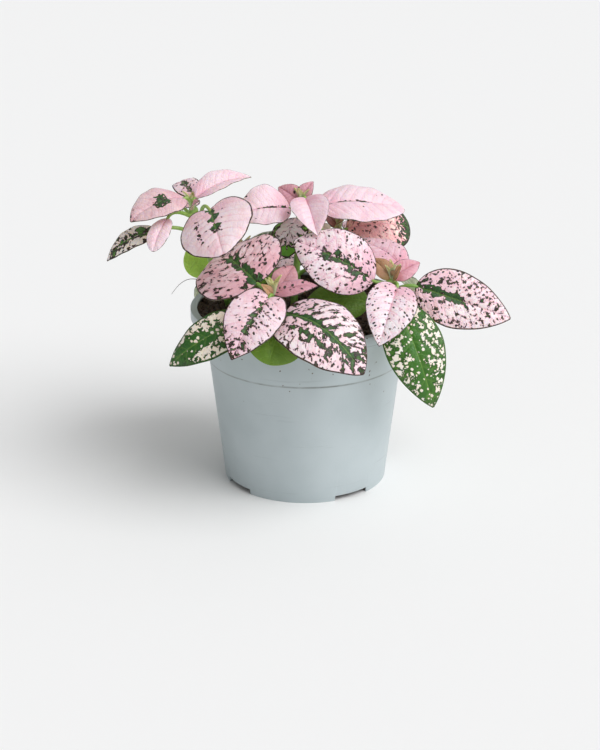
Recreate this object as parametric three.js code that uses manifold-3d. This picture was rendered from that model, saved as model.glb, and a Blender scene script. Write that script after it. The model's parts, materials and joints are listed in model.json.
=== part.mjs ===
// A young polka dot plant in a small nursery pot.
//
// Millimetres, +Z up.  The middle of the pot's foot is the origin and the plant's best side
// faces -Y.  Seven short leafy shoots stand in plain holes in the soil.  Each shoot is one
// solid, its stem, leaf stalks and folded young leaves grown together.  Each full leaf is a
// solid of its own that meets the end of its stalk.
import * as THREE from "three";
import { mergeVertices } from "three/addons/utils/BufferGeometryUtils.js";
import Module from "manifold-3d";

const wasm = await Module();
wasm.setup();

// ---------------------------------------------------------------- driving dimensions

const POT_HEIGHT = 47;
const LIP_RADIUS = 30;
const LIP_HEIGHT = 2.5;
const LIP_WALL = 1.7;
const LIP_WEAR = 0.4; // chamfer of the lip's two edges
const FOOT_RADIUS = 21.5;
const STEP_HEIGHT = 33.6; // where the wall steps in by STEP_DEPTH, going down
const STEP_RADIUS = 25.4;
const STEP_DEPTH = 0.4;
const STEP_SLOPE = 0.2; // height that the step takes up
const NECK_RADIUS = 27; // outside of the wall just under the lip
const WALL = 1;
const FOOT_RING = 1.2; // width of the ring that the pot stands on
const FOOT_HEIGHT = 1.4;
const FLOOR = 1.2;
const NOTCH_COUNT = 4;
const NOTCH_START = 21; // degrees round from the front
const NOTCH_SWEEP = 27; // degrees
const DRAIN_COUNT = 4;
const DRAIN_RADIUS = 2.5;
const DRAIN_CIRCLE = 12;
const POT_SIDES = 40;

const SOIL_TOP = 45.5;
const SOIL_GAP = 0.3; // clear of the pot all round
const SOIL_SIDES = 36;
const SOIL_EDGE = 0.7; // how much lower the soil lies at its edge
const SOIL_RINGS = [24, 18, 12, 6, 0]; // radii of the rings that make its uneven surface
const LUMP = 0.5; // height of the lumps in its surface
const LUMP_PITCH = 0.9; // radians of the lumps' waves per millimetre

const STEM_RADIUS = 1.1;
const STALK_RADIUS = 0.6;
const STALK_CURVE = 0.4; // share of a stalk that lies in line with its leaf
const HOLE_RADIUS = 1.5;
const HOLE_DEPTH = 8;
const LEAF_GAP = 0.3; // between a blade and the end of its stalk

const BLADE = 0.6; // thickness of a leaf
const STALK_WIDTH = 1.2; // width of a blade where it meets its stalk
const TIP_WIDTH = 0.5;
const LENGTH_CELLS = 9;
const WIDTH_CELLS = 4;
const YOUNG_LENGTH_CELLS = 5;
const YOUNG_WIDTH_CELLS = 2;
const [STEM_SIDES, STEM_STEPS] = [8, 8];
const [STALK_SIDES, STALK_STEPS] = [6, 3];
const HOLE_SIDES = 12;
const DRAIN_SIDES = 16;

const degrees = THREE.MathUtils.degToRad;
const point = (xyz) => new THREE.Vector3(...xyz);

// ---------------------------------------------------------------- finishes

const finish = (color, roughness) => new THREE.MeshStandardMaterial({ color, roughness, metalness: 0 });
const potPlastic = finish(0xb4bfc1, 0.55);
const peat = finish(0x3a2c22, 0.95);
const stemGreen = finish(0x7fa04a, 0.5);
const leafFinish = {
  blush: finish(0xf0cfd8, 0.5), // almost all pink
  dotted: finish(0xeab9c6, 0.5), // pink with dark dots
  mottled: finish(0xc79aa0, 0.5), // pink broken up by green
  specked: finish(0x3f7a3c, 0.45), // green with cream specks
  green: finish(0x6fa23c, 0.45), // plain green
};

// ---------------------------------------------------------------- the plant's plan

// A shoot's stem runs from its hole through the points given, to its growing tip.
const STEMS = {
  left: [[-20, 3, SOIL_TOP], [-25, 2, 60], [-29, 1, 73]],
  front: [[-9, -14, SOIL_TOP], [-9, -18, 51], [-8, -21, 57]],
  middle: [[-3, 3, SOIL_TOP], [-2, 4, 60], [-1, 6, 73]],
  right: [[18, -8, SOIL_TOP], [21, -10, 51], [22, -12, 58]],
  inner: [[12, 10, SOIL_TOP], [10, 12, 55], [9, 14, 64]],
  back: [[6, 20, SOIL_TOP], [5, 24, 52], [4, 27, 60]],
  rear: [[-12, 15, SOIL_TOP], [-15, 18, 50], [-17, 21, 55]],
};

// A leaf: its shoot, the height on the stem that its stalk leaves from, the two ends of its
// midrib, the way its upper side faces and its width.  Then how far each half folds up
// (degrees), how far the midrib arches above a straight line, how far the lobes at its base
// reach back, how far the midrib bends sideways, how blunt the tip is, from 0 to 1, and the
// leaf's colouring.
const LEAVES = [
  //shoot    at  from           to              face       wide,fold,arch,lobe,bend,blunt,look
  ["left",   72, [-31, -1, 76], [-44, -9, 72],  [-1, -2, 4], 13, 15, 2,  0,  0,    0.2, "blush"],
  ["left",   72, [-29, 4, 75],  [-34, 16, 75],  [-1, 0, 3],  7,  15, 2,  0,  0.5,  0,   "dotted"],
  ["left",   72, [-28, -1, 76], [-14, 5, 80],   [0, -1, 3],  10, 35, 1,  0,  -0.6, 0,   "blush"],
  ["left",   70, [-35, -6, 72], [-38, -15, 66], [-1, -3, 3], 6,  15, 1,  0,  0,    0.8, "blush"],
  ["left",   65, [-38, -3, 68], [-51, -3, 60],  [-1, -2, 4], 8,  10, 2,  0,  0.5,  0.2, "mottled"],
  ["left",   67, [-24, -9, 75], [-20, -25, 68], [-2, -3, 4], 20, 5,  2,  3,  -0.6, 0.4, "blush"],
  ["left",   61, [-24, 8, 60],  [-31, 6, 54],   [0, -1, 1],  10, 5,  1,  0,  0,    0.8, "green"],
  ["left",   65, [-32, 8, 71],  [-40, 26, 68],  [0, 1, 4],   13, 10, 2,  0,  0.8,  0.1, "dotted"],
  ["left",   62, [-23, 8, 68],  [-14, 20, 66],  [1, 1, 4],   12, 10, 2,  0,  -0.6, 0.2, "mottled"],
  ["front",  56, [-12, -19, 59],[-22, 0, 61],   [-2, -1, 4], 25, 12, 2,  1,  0,    0.4, "dotted"],
  ["front",  55, [-9, -24, 57], [-18, -36, 45], [-1, -4, 3], 15, 15, 2,  2,  0,    0,   "dotted"],
  ["front",  50, [-14, -22, 51],[-34, -24, 39], [-1, -3, 3], 12, 5,  4,  0,  -0.8, 0.1, "specked"],
  ["front",  53, [-5, -25, 53], [14, -38, 42],  [2, -4, 4],  20, 5,  5,  2,  0,    0.3, "mottled"],
  ["front",  49, [-6, -25, 51], [-9, -34, 43],  [0, -3, 2],  15, 5,  2,  0,  0,    0.7, "green"],
  ["middle", 71, [-4, 4, 72],   [-18, 1, 70],   [0, -2, 3],  15, 25, 2,  0,  0,    0.2, "blush"],
  ["middle", 72, [0, 3, 75],    [3, -11, 69],   [0, -1, 1],  12, 35, 1,  0,  0,    0.1, "blush"],
  ["middle", 70, [3, 6, 72],    [26, 10, 70],   [0, -1, 3],  17, 10, 2,  0,  0,    0.5, "blush"],
  ["middle", 66, [-2, 2, 70],   [-5, -4, 61],   [-2, -3, 2], 11, 10, 2,  0,  0,    0.4, "mottled"],
  ["middle", 62, [-6, 9, 64],   [-15, 13, 60],  [-1, 1, 2],  11, 10, 1,  0,  0.5,  0.3, "specked"],
  ["middle", 71, [-3, 11, 72],  [-8, 30, 67],   [0, 1, 4],   13, 15, 2,  0,  -0.8, 0.1, "dotted"],
  ["middle", 53, [3, 2, 56],    [16, 1, 52],    [0, 0, 1],   13, 10, 2,  0,  0.5,  0.2, "specked"],
  ["middle", 54, [-7, 2, 56],   [-17, -4, 52],  [0, 0, 1],   11, 10, 2,  0,  -0.5, 0.2, "green"],
  ["right",  57, [17, -14, 58], [-3, -9, 67],   [-1, -3, 3], 17, 10, 3,  0,  0,    0.2, "dotted"],
  ["right",  57, [25, -8, 59],  [12, 5, 63],    [0, -1, 4],  12, 10, 2,  0,  0.5,  0.3, "dotted"],
  ["right",  54, [28, -12, 56], [52, -14, 48],  [0, -2, 1],  15, 10, 1,  0,  0,    0.1, "mottled"],
  ["right",  56, [23, -16, 57], [18, -29, 46],  [0, -3, 2],  14, 25, 2,  1,  0,    0.1, "dotted"],
  ["right",  50, [23, -18, 53], [32, -27, 29],  [0, -3, 2],  15, 5,  5,  0,  0,    0.1, "specked"],
  ["right",  48, [16, -12, 52], [0, -13, 52],   [0, -2, 2],  11, 5,  1,  0,  0.4,  0.3, "green"],
  ["right",  47, [28, -3, 50],  [43, 8, 41],    [1, 1, 3],   14, 10, 3,  0,  -0.8, 0.1, "mottled"],
  ["inner",  62, [11, 13, 64],  [28, 18, 63],   [0, -1, 1],  16, 10, 2,  0,  0,    0.9, "mottled"],
  ["inner",  58, [12, 18, 62],  [22, 34, 55],   [1, 1, 4],   13, 10, 3,  0,  0.8,  0.1, "dotted"],
  ["inner",  51, [16, 13, 53],  [33, 25, 40],   [1, 1, 3],   12, 5,  4,  0,  -0.8, 0.2, "specked"],
  ["back",   59, [3, 30, 61],   [-3, 40, 49],   [0, 2, 3],   13, 15, 3,  0,  0.8,  0.1, "blush"],
  ["back",   56, [8, 28, 57],   [20, 37, 46],   [1, 2, 2],   14, 10, 3,  0,  -0.6, 0.2, "mottled"],
  ["back",   52, [0, 24, 52],   [-11, 21, 51],  [0, 0, 1],   12, 10, 1,  0,  0.4,  0.2, "dotted"],
  ["back",   49, [4, 28, 49],   [6, 39, 35],    [0, 3, 1],   14, 5,  3,  0,  0.6,  0.1, "specked"],
  ["rear",   54, [-20, 20, 55], [-30, 28, 49],  [-1, 0, 3],  12, 15, 2,  0,  -0.7, 0.1, "dotted"],
  ["rear",   54, [-17, 25, 53], [-21, 39, 44],  [0, 2, 2],   13, 10, 3,  0,  0.8,  0,   "mottled"],
  ["rear",   49, [-21, 19, 50], [-30, 23, 41],  [-2, 1, 2],  11, 5,  3,  0,  0.5,  0.2, "specked"],
  ["rear",   49, [-12, 22, 50], [-8, 37, 41],   [0, 2, 3],   12, 5,  3,  0,  -0.8, 0.1, "green"],
].map(([shoot, at, from, to, face, width, fold, arch, lobe, bend, blunt, look]) =>
  ({ shoot, at, from, to, face, width, fold, arch, lobe, bend, blunt, look }));

// The small leaves round each growing tip, grown into their shoot.
const YOUNG = [
  //shoot    from           to              face       wide,fold,arch
  ["left",   [-29, 0, 73],  [-27, -4, 76],  [0, -1, 1],  3,  30, 0.5],
  ["front",  [-7, -20, 57], [-3, -14, 62],  [0, -2, 1],  7,  20, 1],
  ["front",  [-8, -21, 57], [3, -18, 58],   [0, -1, 2],  6,  15, 1],
  ["front",  [-8, -21, 56], [-11, -23, 60], [0, -1, 1],  3,  30, 0.5],
  ["middle", [-1, 6, 73],   [-7, 10, 76],   [0, -2, 1],  6,  20, 1],
  ["middle", [-1, 6, 73],   [2, 8, 78],     [-1, -2, 1], 5,  25, 1],
  ["right",  [22, -12, 58], [17, -8, 62],   [0, -2, 1],  5,  20, 1],
  ["right",  [22, -12, 58], [29, -8, 61],   [0, -2, 2],  6,  20, 1],
  ["right",  [22, -12, 58], [24, -14, 62],  [0, -1, 1],  3,  30, 0.5],
  ["inner",  [9, 14, 64],   [5, 16, 67],    [0, -1, 2],  4,  20, 0.5],
  ["inner",  [9, 14, 64],   [10, 10, 67],   [0, -1, 1],  4,  30, 0.5],
  ["back",   [4, 27, 60],   [9, 31, 63],    [0, 1, 2],   5,  20, 1],
  ["back",   [4, 27, 60],   [0, 25, 64],    [0, 1, 1],   4,  25, 0.5],
  ["rear",   [-17, 21, 55], [-21, 25, 58],  [0, 1, 2],   5,  20, 1],
  ["rear",   [-17, 21, 55], [-14, 19, 59],  [0, -1, 1],  4,  25, 0.5],
].map(([shoot, from, to, face, width, fold, arch]) =>
  ({ shoot, from, to, face, width, fold, arch, lobe: 0, bend: 0, blunt: 0 }));

// ---------------------------------------------------------------- solids joined and cut

function toSolid(geometry) {
  const bare = geometry.index ? geometry.clone() : geometry;
  bare.deleteAttribute("normal");
  bare.deleteAttribute("uv");
  const merged = mergeVertices(bare, 1e-4);
  return new wasm.Manifold(new wasm.Mesh({
    numProp: 3,
    vertProperties: new Float32Array(merged.attributes.position.array),
    triVerts: new Uint32Array(merged.index.array),
  }));
}

function toGeometry(solid) {
  const mesh = solid.getMesh();
  const geometry = new THREE.BufferGeometry();
  geometry.setAttribute("position", new THREE.BufferAttribute(mesh.vertProperties, 3));
  geometry.setIndex(new THREE.BufferAttribute(mesh.triVerts, 1));
  geometry.computeVertexNormals();
  return geometry;
}

function named(name, geometry, material) {
  const mesh = new THREE.Mesh(geometry, material);
  mesh.name = name;
  return mesh;
}

// ---------------------------------------------------------------- leaf

// Half of a blade's width at t along its midrib, 0 at the stalk and 1 at the tip: round
// shouldered, widest a little before the middle and drawn out to the tip.
const SHOULDER = 0.55;
const TAPER = 0.9;
const BLUNTER = 0.45; // how much less a wholly blunt leaf tapers

function halfWidth(leaf, t) {
  const taper = TAPER - BLUNTER * leaf.blunt;
  const widest = SHOULDER / (SHOULDER + taper);
  const outline = (at) => at ** SHOULDER * (1 - at) ** taper;
  const shape = (leaf.width / 2) * (outline(t) / outline(widest));
  const least = THREE.MathUtils.lerp(STALK_WIDTH, TIP_WIDTH, t) / 2;
  return Math.hypot(shape, least);
}

const CROWN = 0.25; // how much each half of the blade arches over, across the leaf
const WAVES = 3.5; // waves along each margin
const WAVE = 0.03; // their height, as a share of the leaf's width
const LOBE_END = 6; // how soon the base's lobes end; the scale makes their greatest reach 1
const LOBE_SCALE = 1 / (Math.sqrt(0.5 / (LOBE_END + 0.5)) * (LOBE_END / (LOBE_END + 0.5)) ** LOBE_END);

/** A point of the blade's middle surface: t along the midrib, v from -1 to 1 across it. */
function bladePoint(leaf, t, v) {
  const from = point(leaf.from);
  const chord = point(leaf.to).sub(from);
  const length = chord.length();
  const along = chord.clone().normalize();
  const face = point(leaf.face).normalize();
  const side = new THREE.Vector3().crossVectors(along, face).normalize();
  const up = new THREE.Vector3().crossVectors(side, along);

  const half = halfWidth(leaf, t);
  const fold = degrees(leaf.fold);
  const wave = WAVE * leaf.width * Math.sin(2 * Math.PI * WAVES * t + Math.sign(v)) * Math.abs(v) ** 3;
  const lift = half * (Math.sin(fold) * Math.abs(v) - CROWN * v * v) + wave * Math.min(1, 4 * t * (1 - t));
  const back = leaf.lobe * LOBE_SCALE * Math.sqrt(t) * (1 - t) ** LOBE_END * v * v;
  return from
    .addScaledVector(along, length * t - back)
    .addScaledVector(side, half * Math.cos(fold) * v + 4 * leaf.bend * t * (1 - t))
    .addScaledVector(up, 4 * leaf.arch * t * (1 - t) + lift);
}

/** The blade's unit normal, on its upper side. */
function bladeNormal(leaf, t, v) {
  const step = 1e-3;
  const t0 = Math.max(0, t - step);
  const t1 = Math.min(1, t + step);
  const v0 = Math.max(-1, v - step);
  const v1 = Math.min(1, v + step);
  const alongLeaf = bladePoint(leaf, t1, v).sub(bladePoint(leaf, t0, v));
  const acrossLeaf = bladePoint(leaf, t, v1).sub(bladePoint(leaf, t, v0));
  return acrossLeaf.cross(alongLeaf).normalize();
}

/** A closed blade of even thickness: the same grid of triangles above and below, and a rim. */
function bladeGeometry(leaf, lengthCells, widthCells) {
  const above = [];
  const below = [];
  for (let row = 0; row <= lengthCells; row += 1) {
    const t = (1 - Math.cos((Math.PI * row) / lengthCells)) / 2; // closer rows at both ends
    for (let column = 0; column <= widthCells; column += 1) {
      const v = (2 * column) / widthCells - 1;
      const crease = v === 0 ? Math.cos(degrees(leaf.fold)) : 1;
      const normal = bladeNormal(leaf, t, v).multiplyScalar(BLADE / 2 / crease);
      const middle = bladePoint(leaf, t, v);
      above.push(...middle.clone().add(normal).toArray());
      below.push(...middle.clone().sub(normal).toArray());
    }
  }
  const count = (lengthCells + 1) * (widthCells + 1);
  const at = (row, column) => row * (widthCells + 1) + column;
  const triangles = [];
  for (let row = 0; row < lengthCells; row += 1) {
    for (let column = 0; column < widthCells; column += 1) {
      const [a, b] = [at(row, column), at(row, column + 1)];
      const [c, d] = [at(row + 1, column + 1), at(row + 1, column)];
      triangles.push(a, b, c, a, c, d);
      triangles.push(a + count, c + count, b + count, a + count, d + count, c + count);
    }
  }
  const rim = [];
  for (let column = 0; column < widthCells; column += 1) rim.push(at(0, column));
  for (let row = 0; row < lengthCells; row += 1) rim.push(at(row, widthCells));
  for (let column = widthCells; column > 0; column -= 1) rim.push(at(lengthCells, column));
  for (let row = lengthCells; row > 0; row -= 1) rim.push(at(row, 0));
  rim.forEach((a, i) => {
    const b = rim[(i + 1) % rim.length];
    triangles.push(a, a + count, b + count, a, b + count, b);
  });
  const geometry = new THREE.BufferGeometry();
  geometry.setAttribute("position", new THREE.Float32BufferAttribute([...above, ...below], 3));
  geometry.setIndex(triangles);
  geometry.computeVertexNormals();
  return geometry;
}

// ---------------------------------------------------------------- shoots

function tube(curve, radius, sides, steps) {
  const section = new THREE.Shape().absarc(0, 0, radius, 0, 2 * Math.PI);
  const curveSegments = sides / 2; // a full circle is given two sides for each
  return new THREE.ExtrudeGeometry(section, { curveSegments, steps, extrudePath: curve });
}

function stemCurve(shoot) {
  const [foot, ...rest] = STEMS[shoot].map(point);
  const root = foot.clone().setZ(SOIL_TOP - HOLE_DEPTH + SOIL_GAP);
  return new THREE.CatmullRomCurve3([root, foot, ...rest], false, "centripetal");
}

/** The point of a stem at the height given. */
function stemPoint(curve, height) {
  const points = curve.getSpacedPoints(100);
  return points.reduce((best, p) => (Math.abs(p.z - height) < Math.abs(best.z - height) ? p : best));
}

const START = 0.02; // of the midrib, which gives the way that it sets out

/** A stalk leaves the stem and runs on into the line of its leaf's midrib. */
function stalkCurve(leaf, stem) {
  const start = stemPoint(stem, leaf.at);
  const base = point(leaf.from);
  const ahead = bladePoint(leaf, START, 0).sub(bladePoint(leaf, 0, 0)).normalize();
  const end = base.clone().addScaledVector(ahead, -LEAF_GAP);
  const reach = start.distanceTo(base);
  const bend = end.clone().addScaledVector(ahead, -STALK_CURVE * reach);
  return new THREE.QuadraticBezierCurve3(start, bend, end);
}

function shootGeometry(shoot) {
  const stem = stemCurve(shoot);
  let solid = toSolid(tube(stem, STEM_RADIUS, STEM_SIDES, STEM_STEPS));
  for (const leaf of LEAVES.filter((l) => l.shoot === shoot)) {
    solid = solid.add(toSolid(tube(stalkCurve(leaf, stem), STALK_RADIUS, STALK_SIDES, STALK_STEPS)));
  }
  for (const leaf of YOUNG.filter((l) => l.shoot === shoot)) {
    solid = solid.add(toSolid(bladeGeometry(leaf, YOUNG_LENGTH_CELLS, YOUNG_WIDTH_CELLS)));
  }
  return toGeometry(solid);
}

// ---------------------------------------------------------------- soil

function soilGeometry() {
  const bottom = FOOT_HEIGHT + FLOOR + SOIL_GAP;
  const wallInside = (z) => potWall(z) - WALL - SOIL_GAP;
  const edge = SOIL_TOP - SOIL_EDGE;
  const profile = [
    [0, bottom],
    [wallInside(bottom), bottom],
    [wallInside(STEP_HEIGHT - WALL), STEP_HEIGHT - WALL],
    [wallInside(edge), edge],
    ...SOIL_RINGS.map((r) => [r, SOIL_TOP]),
  ].map(([r, z]) => new THREE.Vector2(r, z));
  const geometry = new THREE.LatheGeometry(profile, SOIL_SIDES);
  const spots = geometry.attributes.position;
  for (let i = 0; i < spots.count; i += 1) {
    const [x, y, z] = [spots.getX(i), spots.getZ(i), spots.getY(i)];
    const lump = z === SOIL_TOP ? LUMP * Math.sin(LUMP_PITCH * x) * Math.cos(LUMP_PITCH * y + 1) : 0;
    spots.setXYZ(i, x, -y, z + lump);
  }
  let solid = toSolid(geometry);
  const depth = HOLE_DEPTH + 2 * LUMP;
  for (const [foot] of Object.values(STEMS)) {
    const hole = new THREE.CylinderGeometry(HOLE_RADIUS, HOLE_RADIUS, depth, HOLE_SIDES);
    hole.rotateX(Math.PI / 2);
    hole.translate(foot[0], foot[1], SOIL_TOP - HOLE_DEPTH + depth / 2);
    solid = solid.subtract(toSolid(hole));
  }
  return toGeometry(solid);
}

// ---------------------------------------------------------------- pot

/** Outside radius of the pot's wall at a height, without its lip. */
function potWall(z) {
  if (z < STEP_HEIGHT) {
    return THREE.MathUtils.lerp(FOOT_RADIUS, STEP_RADIUS, z / STEP_HEIGHT);
  }
  const above = (z - STEP_HEIGHT) / (POT_HEIGHT - LIP_HEIGHT - STEP_HEIGHT);
  return THREE.MathUtils.lerp(STEP_RADIUS + STEP_DEPTH, NECK_RADIUS, above);
}

function potGeometry() {
  const lipUnder = POT_HEIGHT - LIP_HEIGHT;
  const inside = (z) => potWall(z) - WALL;
  const floorTop = FOOT_HEIGHT + FLOOR;
  const profile = [
    [0, floorTop],
    [0, FOOT_HEIGHT],
    [FOOT_RADIUS - FOOT_RING, FOOT_HEIGHT],
    [FOOT_RADIUS - FOOT_RING, 0],
    [FOOT_RADIUS, 0],
    [STEP_RADIUS, STEP_HEIGHT],
    [STEP_RADIUS + STEP_DEPTH, STEP_HEIGHT + STEP_SLOPE],
    [NECK_RADIUS, lipUnder],
    [LIP_RADIUS, lipUnder],
    [LIP_RADIUS, POT_HEIGHT - LIP_WEAR],
    [LIP_RADIUS - LIP_WEAR, POT_HEIGHT],
    [LIP_RADIUS - LIP_WALL + LIP_WEAR, POT_HEIGHT],
    [LIP_RADIUS - LIP_WALL, POT_HEIGHT - LIP_WEAR],
    [LIP_RADIUS - LIP_WALL, lipUnder + WALL],
    [inside(lipUnder), lipUnder - WALL],
    [inside(STEP_HEIGHT), STEP_HEIGHT],
    [inside(STEP_HEIGHT - WALL), STEP_HEIGHT - WALL],
    [inside(floorTop), floorTop],
    [0, floorTop],
  ].map(([r, z]) => new THREE.Vector2(r, z));
  const geometry = new THREE.LatheGeometry(profile, POT_SIDES);
  geometry.rotateX(Math.PI / 2);
  let solid = toSolid(geometry);

  for (let i = 0; i < NOTCH_COUNT; i += 1) {
    const start = degrees(-90 + NOTCH_START + (360 / NOTCH_COUNT) * i);
    const sector = new THREE.Shape()
      .moveTo(0, 0)
      .lineTo(LIP_RADIUS * Math.cos(start), LIP_RADIUS * Math.sin(start))
      .absarc(0, 0, LIP_RADIUS, start, start + degrees(NOTCH_SWEEP));
    const notch = new THREE.ExtrudeGeometry(sector, { depth: 2 * FOOT_HEIGHT, bevelEnabled: false });
    notch.translate(0, 0, -FOOT_HEIGHT);
    solid = solid.subtract(toSolid(notch));
  }
  for (let i = 0; i < DRAIN_COUNT; i += 1) {
    const turn = (2 * Math.PI * i) / DRAIN_COUNT;
    const drain = new THREE.CylinderGeometry(DRAIN_RADIUS, DRAIN_RADIUS, 4 * FLOOR, DRAIN_SIDES);
    drain.rotateX(Math.PI / 2);
    drain.translate(DRAIN_CIRCLE * Math.cos(turn), DRAIN_CIRCLE * Math.sin(turn), floorTop);
    solid = solid.subtract(toSolid(drain));
  }
  return toGeometry(solid);
}

// ---------------------------------------------------------------- the whole plant

const plant = new THREE.Group();
plant.add(named("pot", potGeometry(), potPlastic));
plant.add(named("soil", soilGeometry(), peat));
for (const shoot of Object.keys(STEMS)) {
  plant.add(named(`stem_${shoot}`, shootGeometry(shoot), stemGreen));
  LEAVES.filter((leaf) => leaf.shoot === shoot).forEach((leaf, i) => {
    const blade = bladeGeometry(leaf, LENGTH_CELLS, WIDTH_CELLS);
    plant.add(named(`leaf_${shoot}_${i + 1}`, blade, leafFinish[leaf.look]));
  });
}

export default plant;
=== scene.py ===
# %% [markdown]
# # A young polka dot plant in a nursery pot
#
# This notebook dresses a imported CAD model.  The model gives every piece its place and size: a
# plastic pot, its soil, seven leafy shoots and forty leaves.  Here each of them is made again,
# finer, and gets its finish: moulded plastic, peat, waxy stems, and leaves that are freckled
# with pink and green.
#
# The model's nodes load as a fixed frame.  Nothing here moves them: a finer piece replaces its
# node and stays where the node was.

import json
import math

import bpy
import numpy as np
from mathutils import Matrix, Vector, noise


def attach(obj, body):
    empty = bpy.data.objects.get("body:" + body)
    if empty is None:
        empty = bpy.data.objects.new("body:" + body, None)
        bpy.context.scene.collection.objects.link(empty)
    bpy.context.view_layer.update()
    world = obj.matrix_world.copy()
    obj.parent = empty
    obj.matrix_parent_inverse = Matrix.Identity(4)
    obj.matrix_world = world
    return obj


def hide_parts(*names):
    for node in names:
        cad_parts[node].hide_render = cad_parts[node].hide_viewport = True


MM = 0.001  # metres

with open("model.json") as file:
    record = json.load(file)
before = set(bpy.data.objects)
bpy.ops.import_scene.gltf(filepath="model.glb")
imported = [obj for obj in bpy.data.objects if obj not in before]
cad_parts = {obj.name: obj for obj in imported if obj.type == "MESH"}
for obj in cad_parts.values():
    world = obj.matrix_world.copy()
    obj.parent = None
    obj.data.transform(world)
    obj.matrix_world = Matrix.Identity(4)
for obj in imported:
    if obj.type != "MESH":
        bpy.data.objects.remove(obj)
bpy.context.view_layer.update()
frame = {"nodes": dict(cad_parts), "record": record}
print("nodes:", len(frame["nodes"]), "box of the CAD model, mm:")

# %% [markdown]
# ## Camera, floor and light
#
# The camera has a long lens and looks from a little above, which keeps the pot's sides nearly
# straight.  The floor is one large plane, pale enough to pass for the backdrop,
# because from this height the camera sees no horizon.
#
# The light is a window's: a wide soft sun from the front right, and a bright sky all round
# that fills the shadows.  A sun is chosen over an area light because it lights a large floor
# evenly.

# %% Camera
CAMERA_ELEVATION = math.radians(20.8)
CAMERA_DISTANCE = 450 * MM
CAMERA_TARGET = Vector((-1.4, 0, 27.4)) * MM
SENSOR = 36  # mm, along the picture's height
LENS = 81.3  # mm

back_off = Vector((0, -math.cos(CAMERA_ELEVATION), math.sin(CAMERA_ELEVATION)))
bpy.ops.object.camera_add(
    location=CAMERA_TARGET + CAMERA_DISTANCE * back_off,
    rotation=(math.pi / 2 - CAMERA_ELEVATION, 0, 0),
)
camera = bpy.context.object
camera.name = "camera"
camera.data.sensor_fit = "VERTICAL"
camera.data.sensor_height = SENSOR
camera.data.lens = LENS
bpy.context.scene.camera = camera
bpy.context.scene.view_settings.view_transform = "Standard"
print("camera at, mm:", [round(x / MM) for x in camera.location])

# %% Light
SKY_BRIGHT = (0.74, 0.74, 0.745, 1)  # radiance of the sky on the window's side
SKY_DIM = (0.28, 0.285, 0.285, 1)  # and on the other side
SUN_STRENGTH = 2.15
SUN_WIDTH = math.radians(50)
SUN_TURN = math.radians(58)  # to the right of the camera
SUN_HEIGHT = math.radians(48)

world = bpy.data.worlds.new("sky")
world.use_nodes = True
nodes, links = world.node_tree.nodes, world.node_tree.links
across_sky = nodes.new("ShaderNodeSeparateXYZ")
links.new(nodes.new("ShaderNodeTexCoord").outputs["Generated"], across_sky.inputs[0])
sky_mix = nodes.new("ShaderNodeMix")
sky_mix.data_type = "RGBA"
turn_on = nodes.new("ShaderNodeMapRange")
turn_on.inputs["From Min"].default_value = -0.8
turn_on.inputs["From Max"].default_value = 0.8
links.new(across_sky.outputs["X"], turn_on.inputs["Value"])
links.new(turn_on.outputs["Result"], sky_mix.inputs["Factor"])
sky_mix.inputs["A"].default_value = SKY_DIM
sky_mix.inputs["B"].default_value = SKY_BRIGHT
links.new(sky_mix.outputs["Result"], nodes["Background"].inputs["Color"])
bpy.context.scene.world = world

bpy.ops.object.light_add(type="SUN", rotation=(math.pi / 2 - SUN_HEIGHT, 0, SUN_TURN))
sun = bpy.context.object
sun.name = "window_light"
sun.data.energy = SUN_STRENGTH
sun.data.angle = SUN_WIDTH
print("sun:", SUN_STRENGTH, "W/m2 from", round(math.degrees(SUN_TURN)), "degrees to the right")

# %% [markdown]
# ## Helpers
#
# Operators act on whatever is selected, so each piece starts with nothing selected.  A few
# short helpers do what every piece needs: apply its modifiers, write an attribute, smooth
# its faces, and tie it to the frame.


# %% Helpers for pieces
def start_piece():
    """Leaves nothing selected and nothing in edit mode."""
    if bpy.context.object and bpy.context.object.mode != "OBJECT":
        bpy.ops.object.mode_set(mode="OBJECT")
    bpy.ops.object.select_all(action="DESELECT")


def make_active(piece):
    start_piece()
    piece.select_set(True)
    bpy.context.view_layer.objects.active = piece


def apply_modifiers(piece):
    make_active(piece)
    for modifier in list(piece.modifiers):
        bpy.ops.object.modifier_apply(modifier=modifier.name)


def join_pieces(parts, name):
    """Joins parts into the first of them, with its place and size applied."""
    start_piece()
    for part in parts:
        part.select_set(True)
    bpy.context.view_layer.objects.active = parts[0]
    bpy.ops.object.join()
    bpy.context.object.name = name
    bpy.ops.object.transform_apply(location=True, rotation=True, scale=True)
    return bpy.context.object


def points_of(piece):
    """The vertices of a piece as an array of rows, in metres."""
    rows = np.empty(len(piece.data.vertices) * 3)
    piece.data.vertices.foreach_get("co", rows)
    return rows.reshape(-1, 3)


def set_points(piece, rows):
    piece.data.vertices.foreach_set("co", np.asarray(rows, dtype=np.float32).ravel())
    piece.data.update()


def write_attribute(piece, name, rows):
    """Keeps one vector for each vertex, which materials can read by its name."""
    layer = piece.data.attributes.new(name, "FLOAT_VECTOR", "POINT")
    layer.data.foreach_set("vector", np.asarray(rows, dtype=np.float32).ravel())


def read_attribute(piece, name):
    rows = np.empty(len(piece.data.vertices) * 3, dtype=np.float32)
    piece.data.attributes[name].data.foreach_get("vector", rows)
    return rows.reshape(-1, 3)


def smooth(piece, degrees=180):
    make_active(piece)
    bpy.ops.object.shade_smooth_by_angle(angle=math.radians(degrees))


def finish_piece(piece, material, slot, *nodes):
    """Gives a piece its material and its place in the frame."""
    piece.data.materials.clear()
    piece.data.materials.append(material)
    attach(piece, "root")
    if nodes:
        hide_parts(*nodes)


# %% [markdown]
# Materials are drawn with nodes.  A `Bench` puts them on a node tree one after another, so
# that a finish reads like a recipe: a texture, some sums, a mix of two colours.


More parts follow.
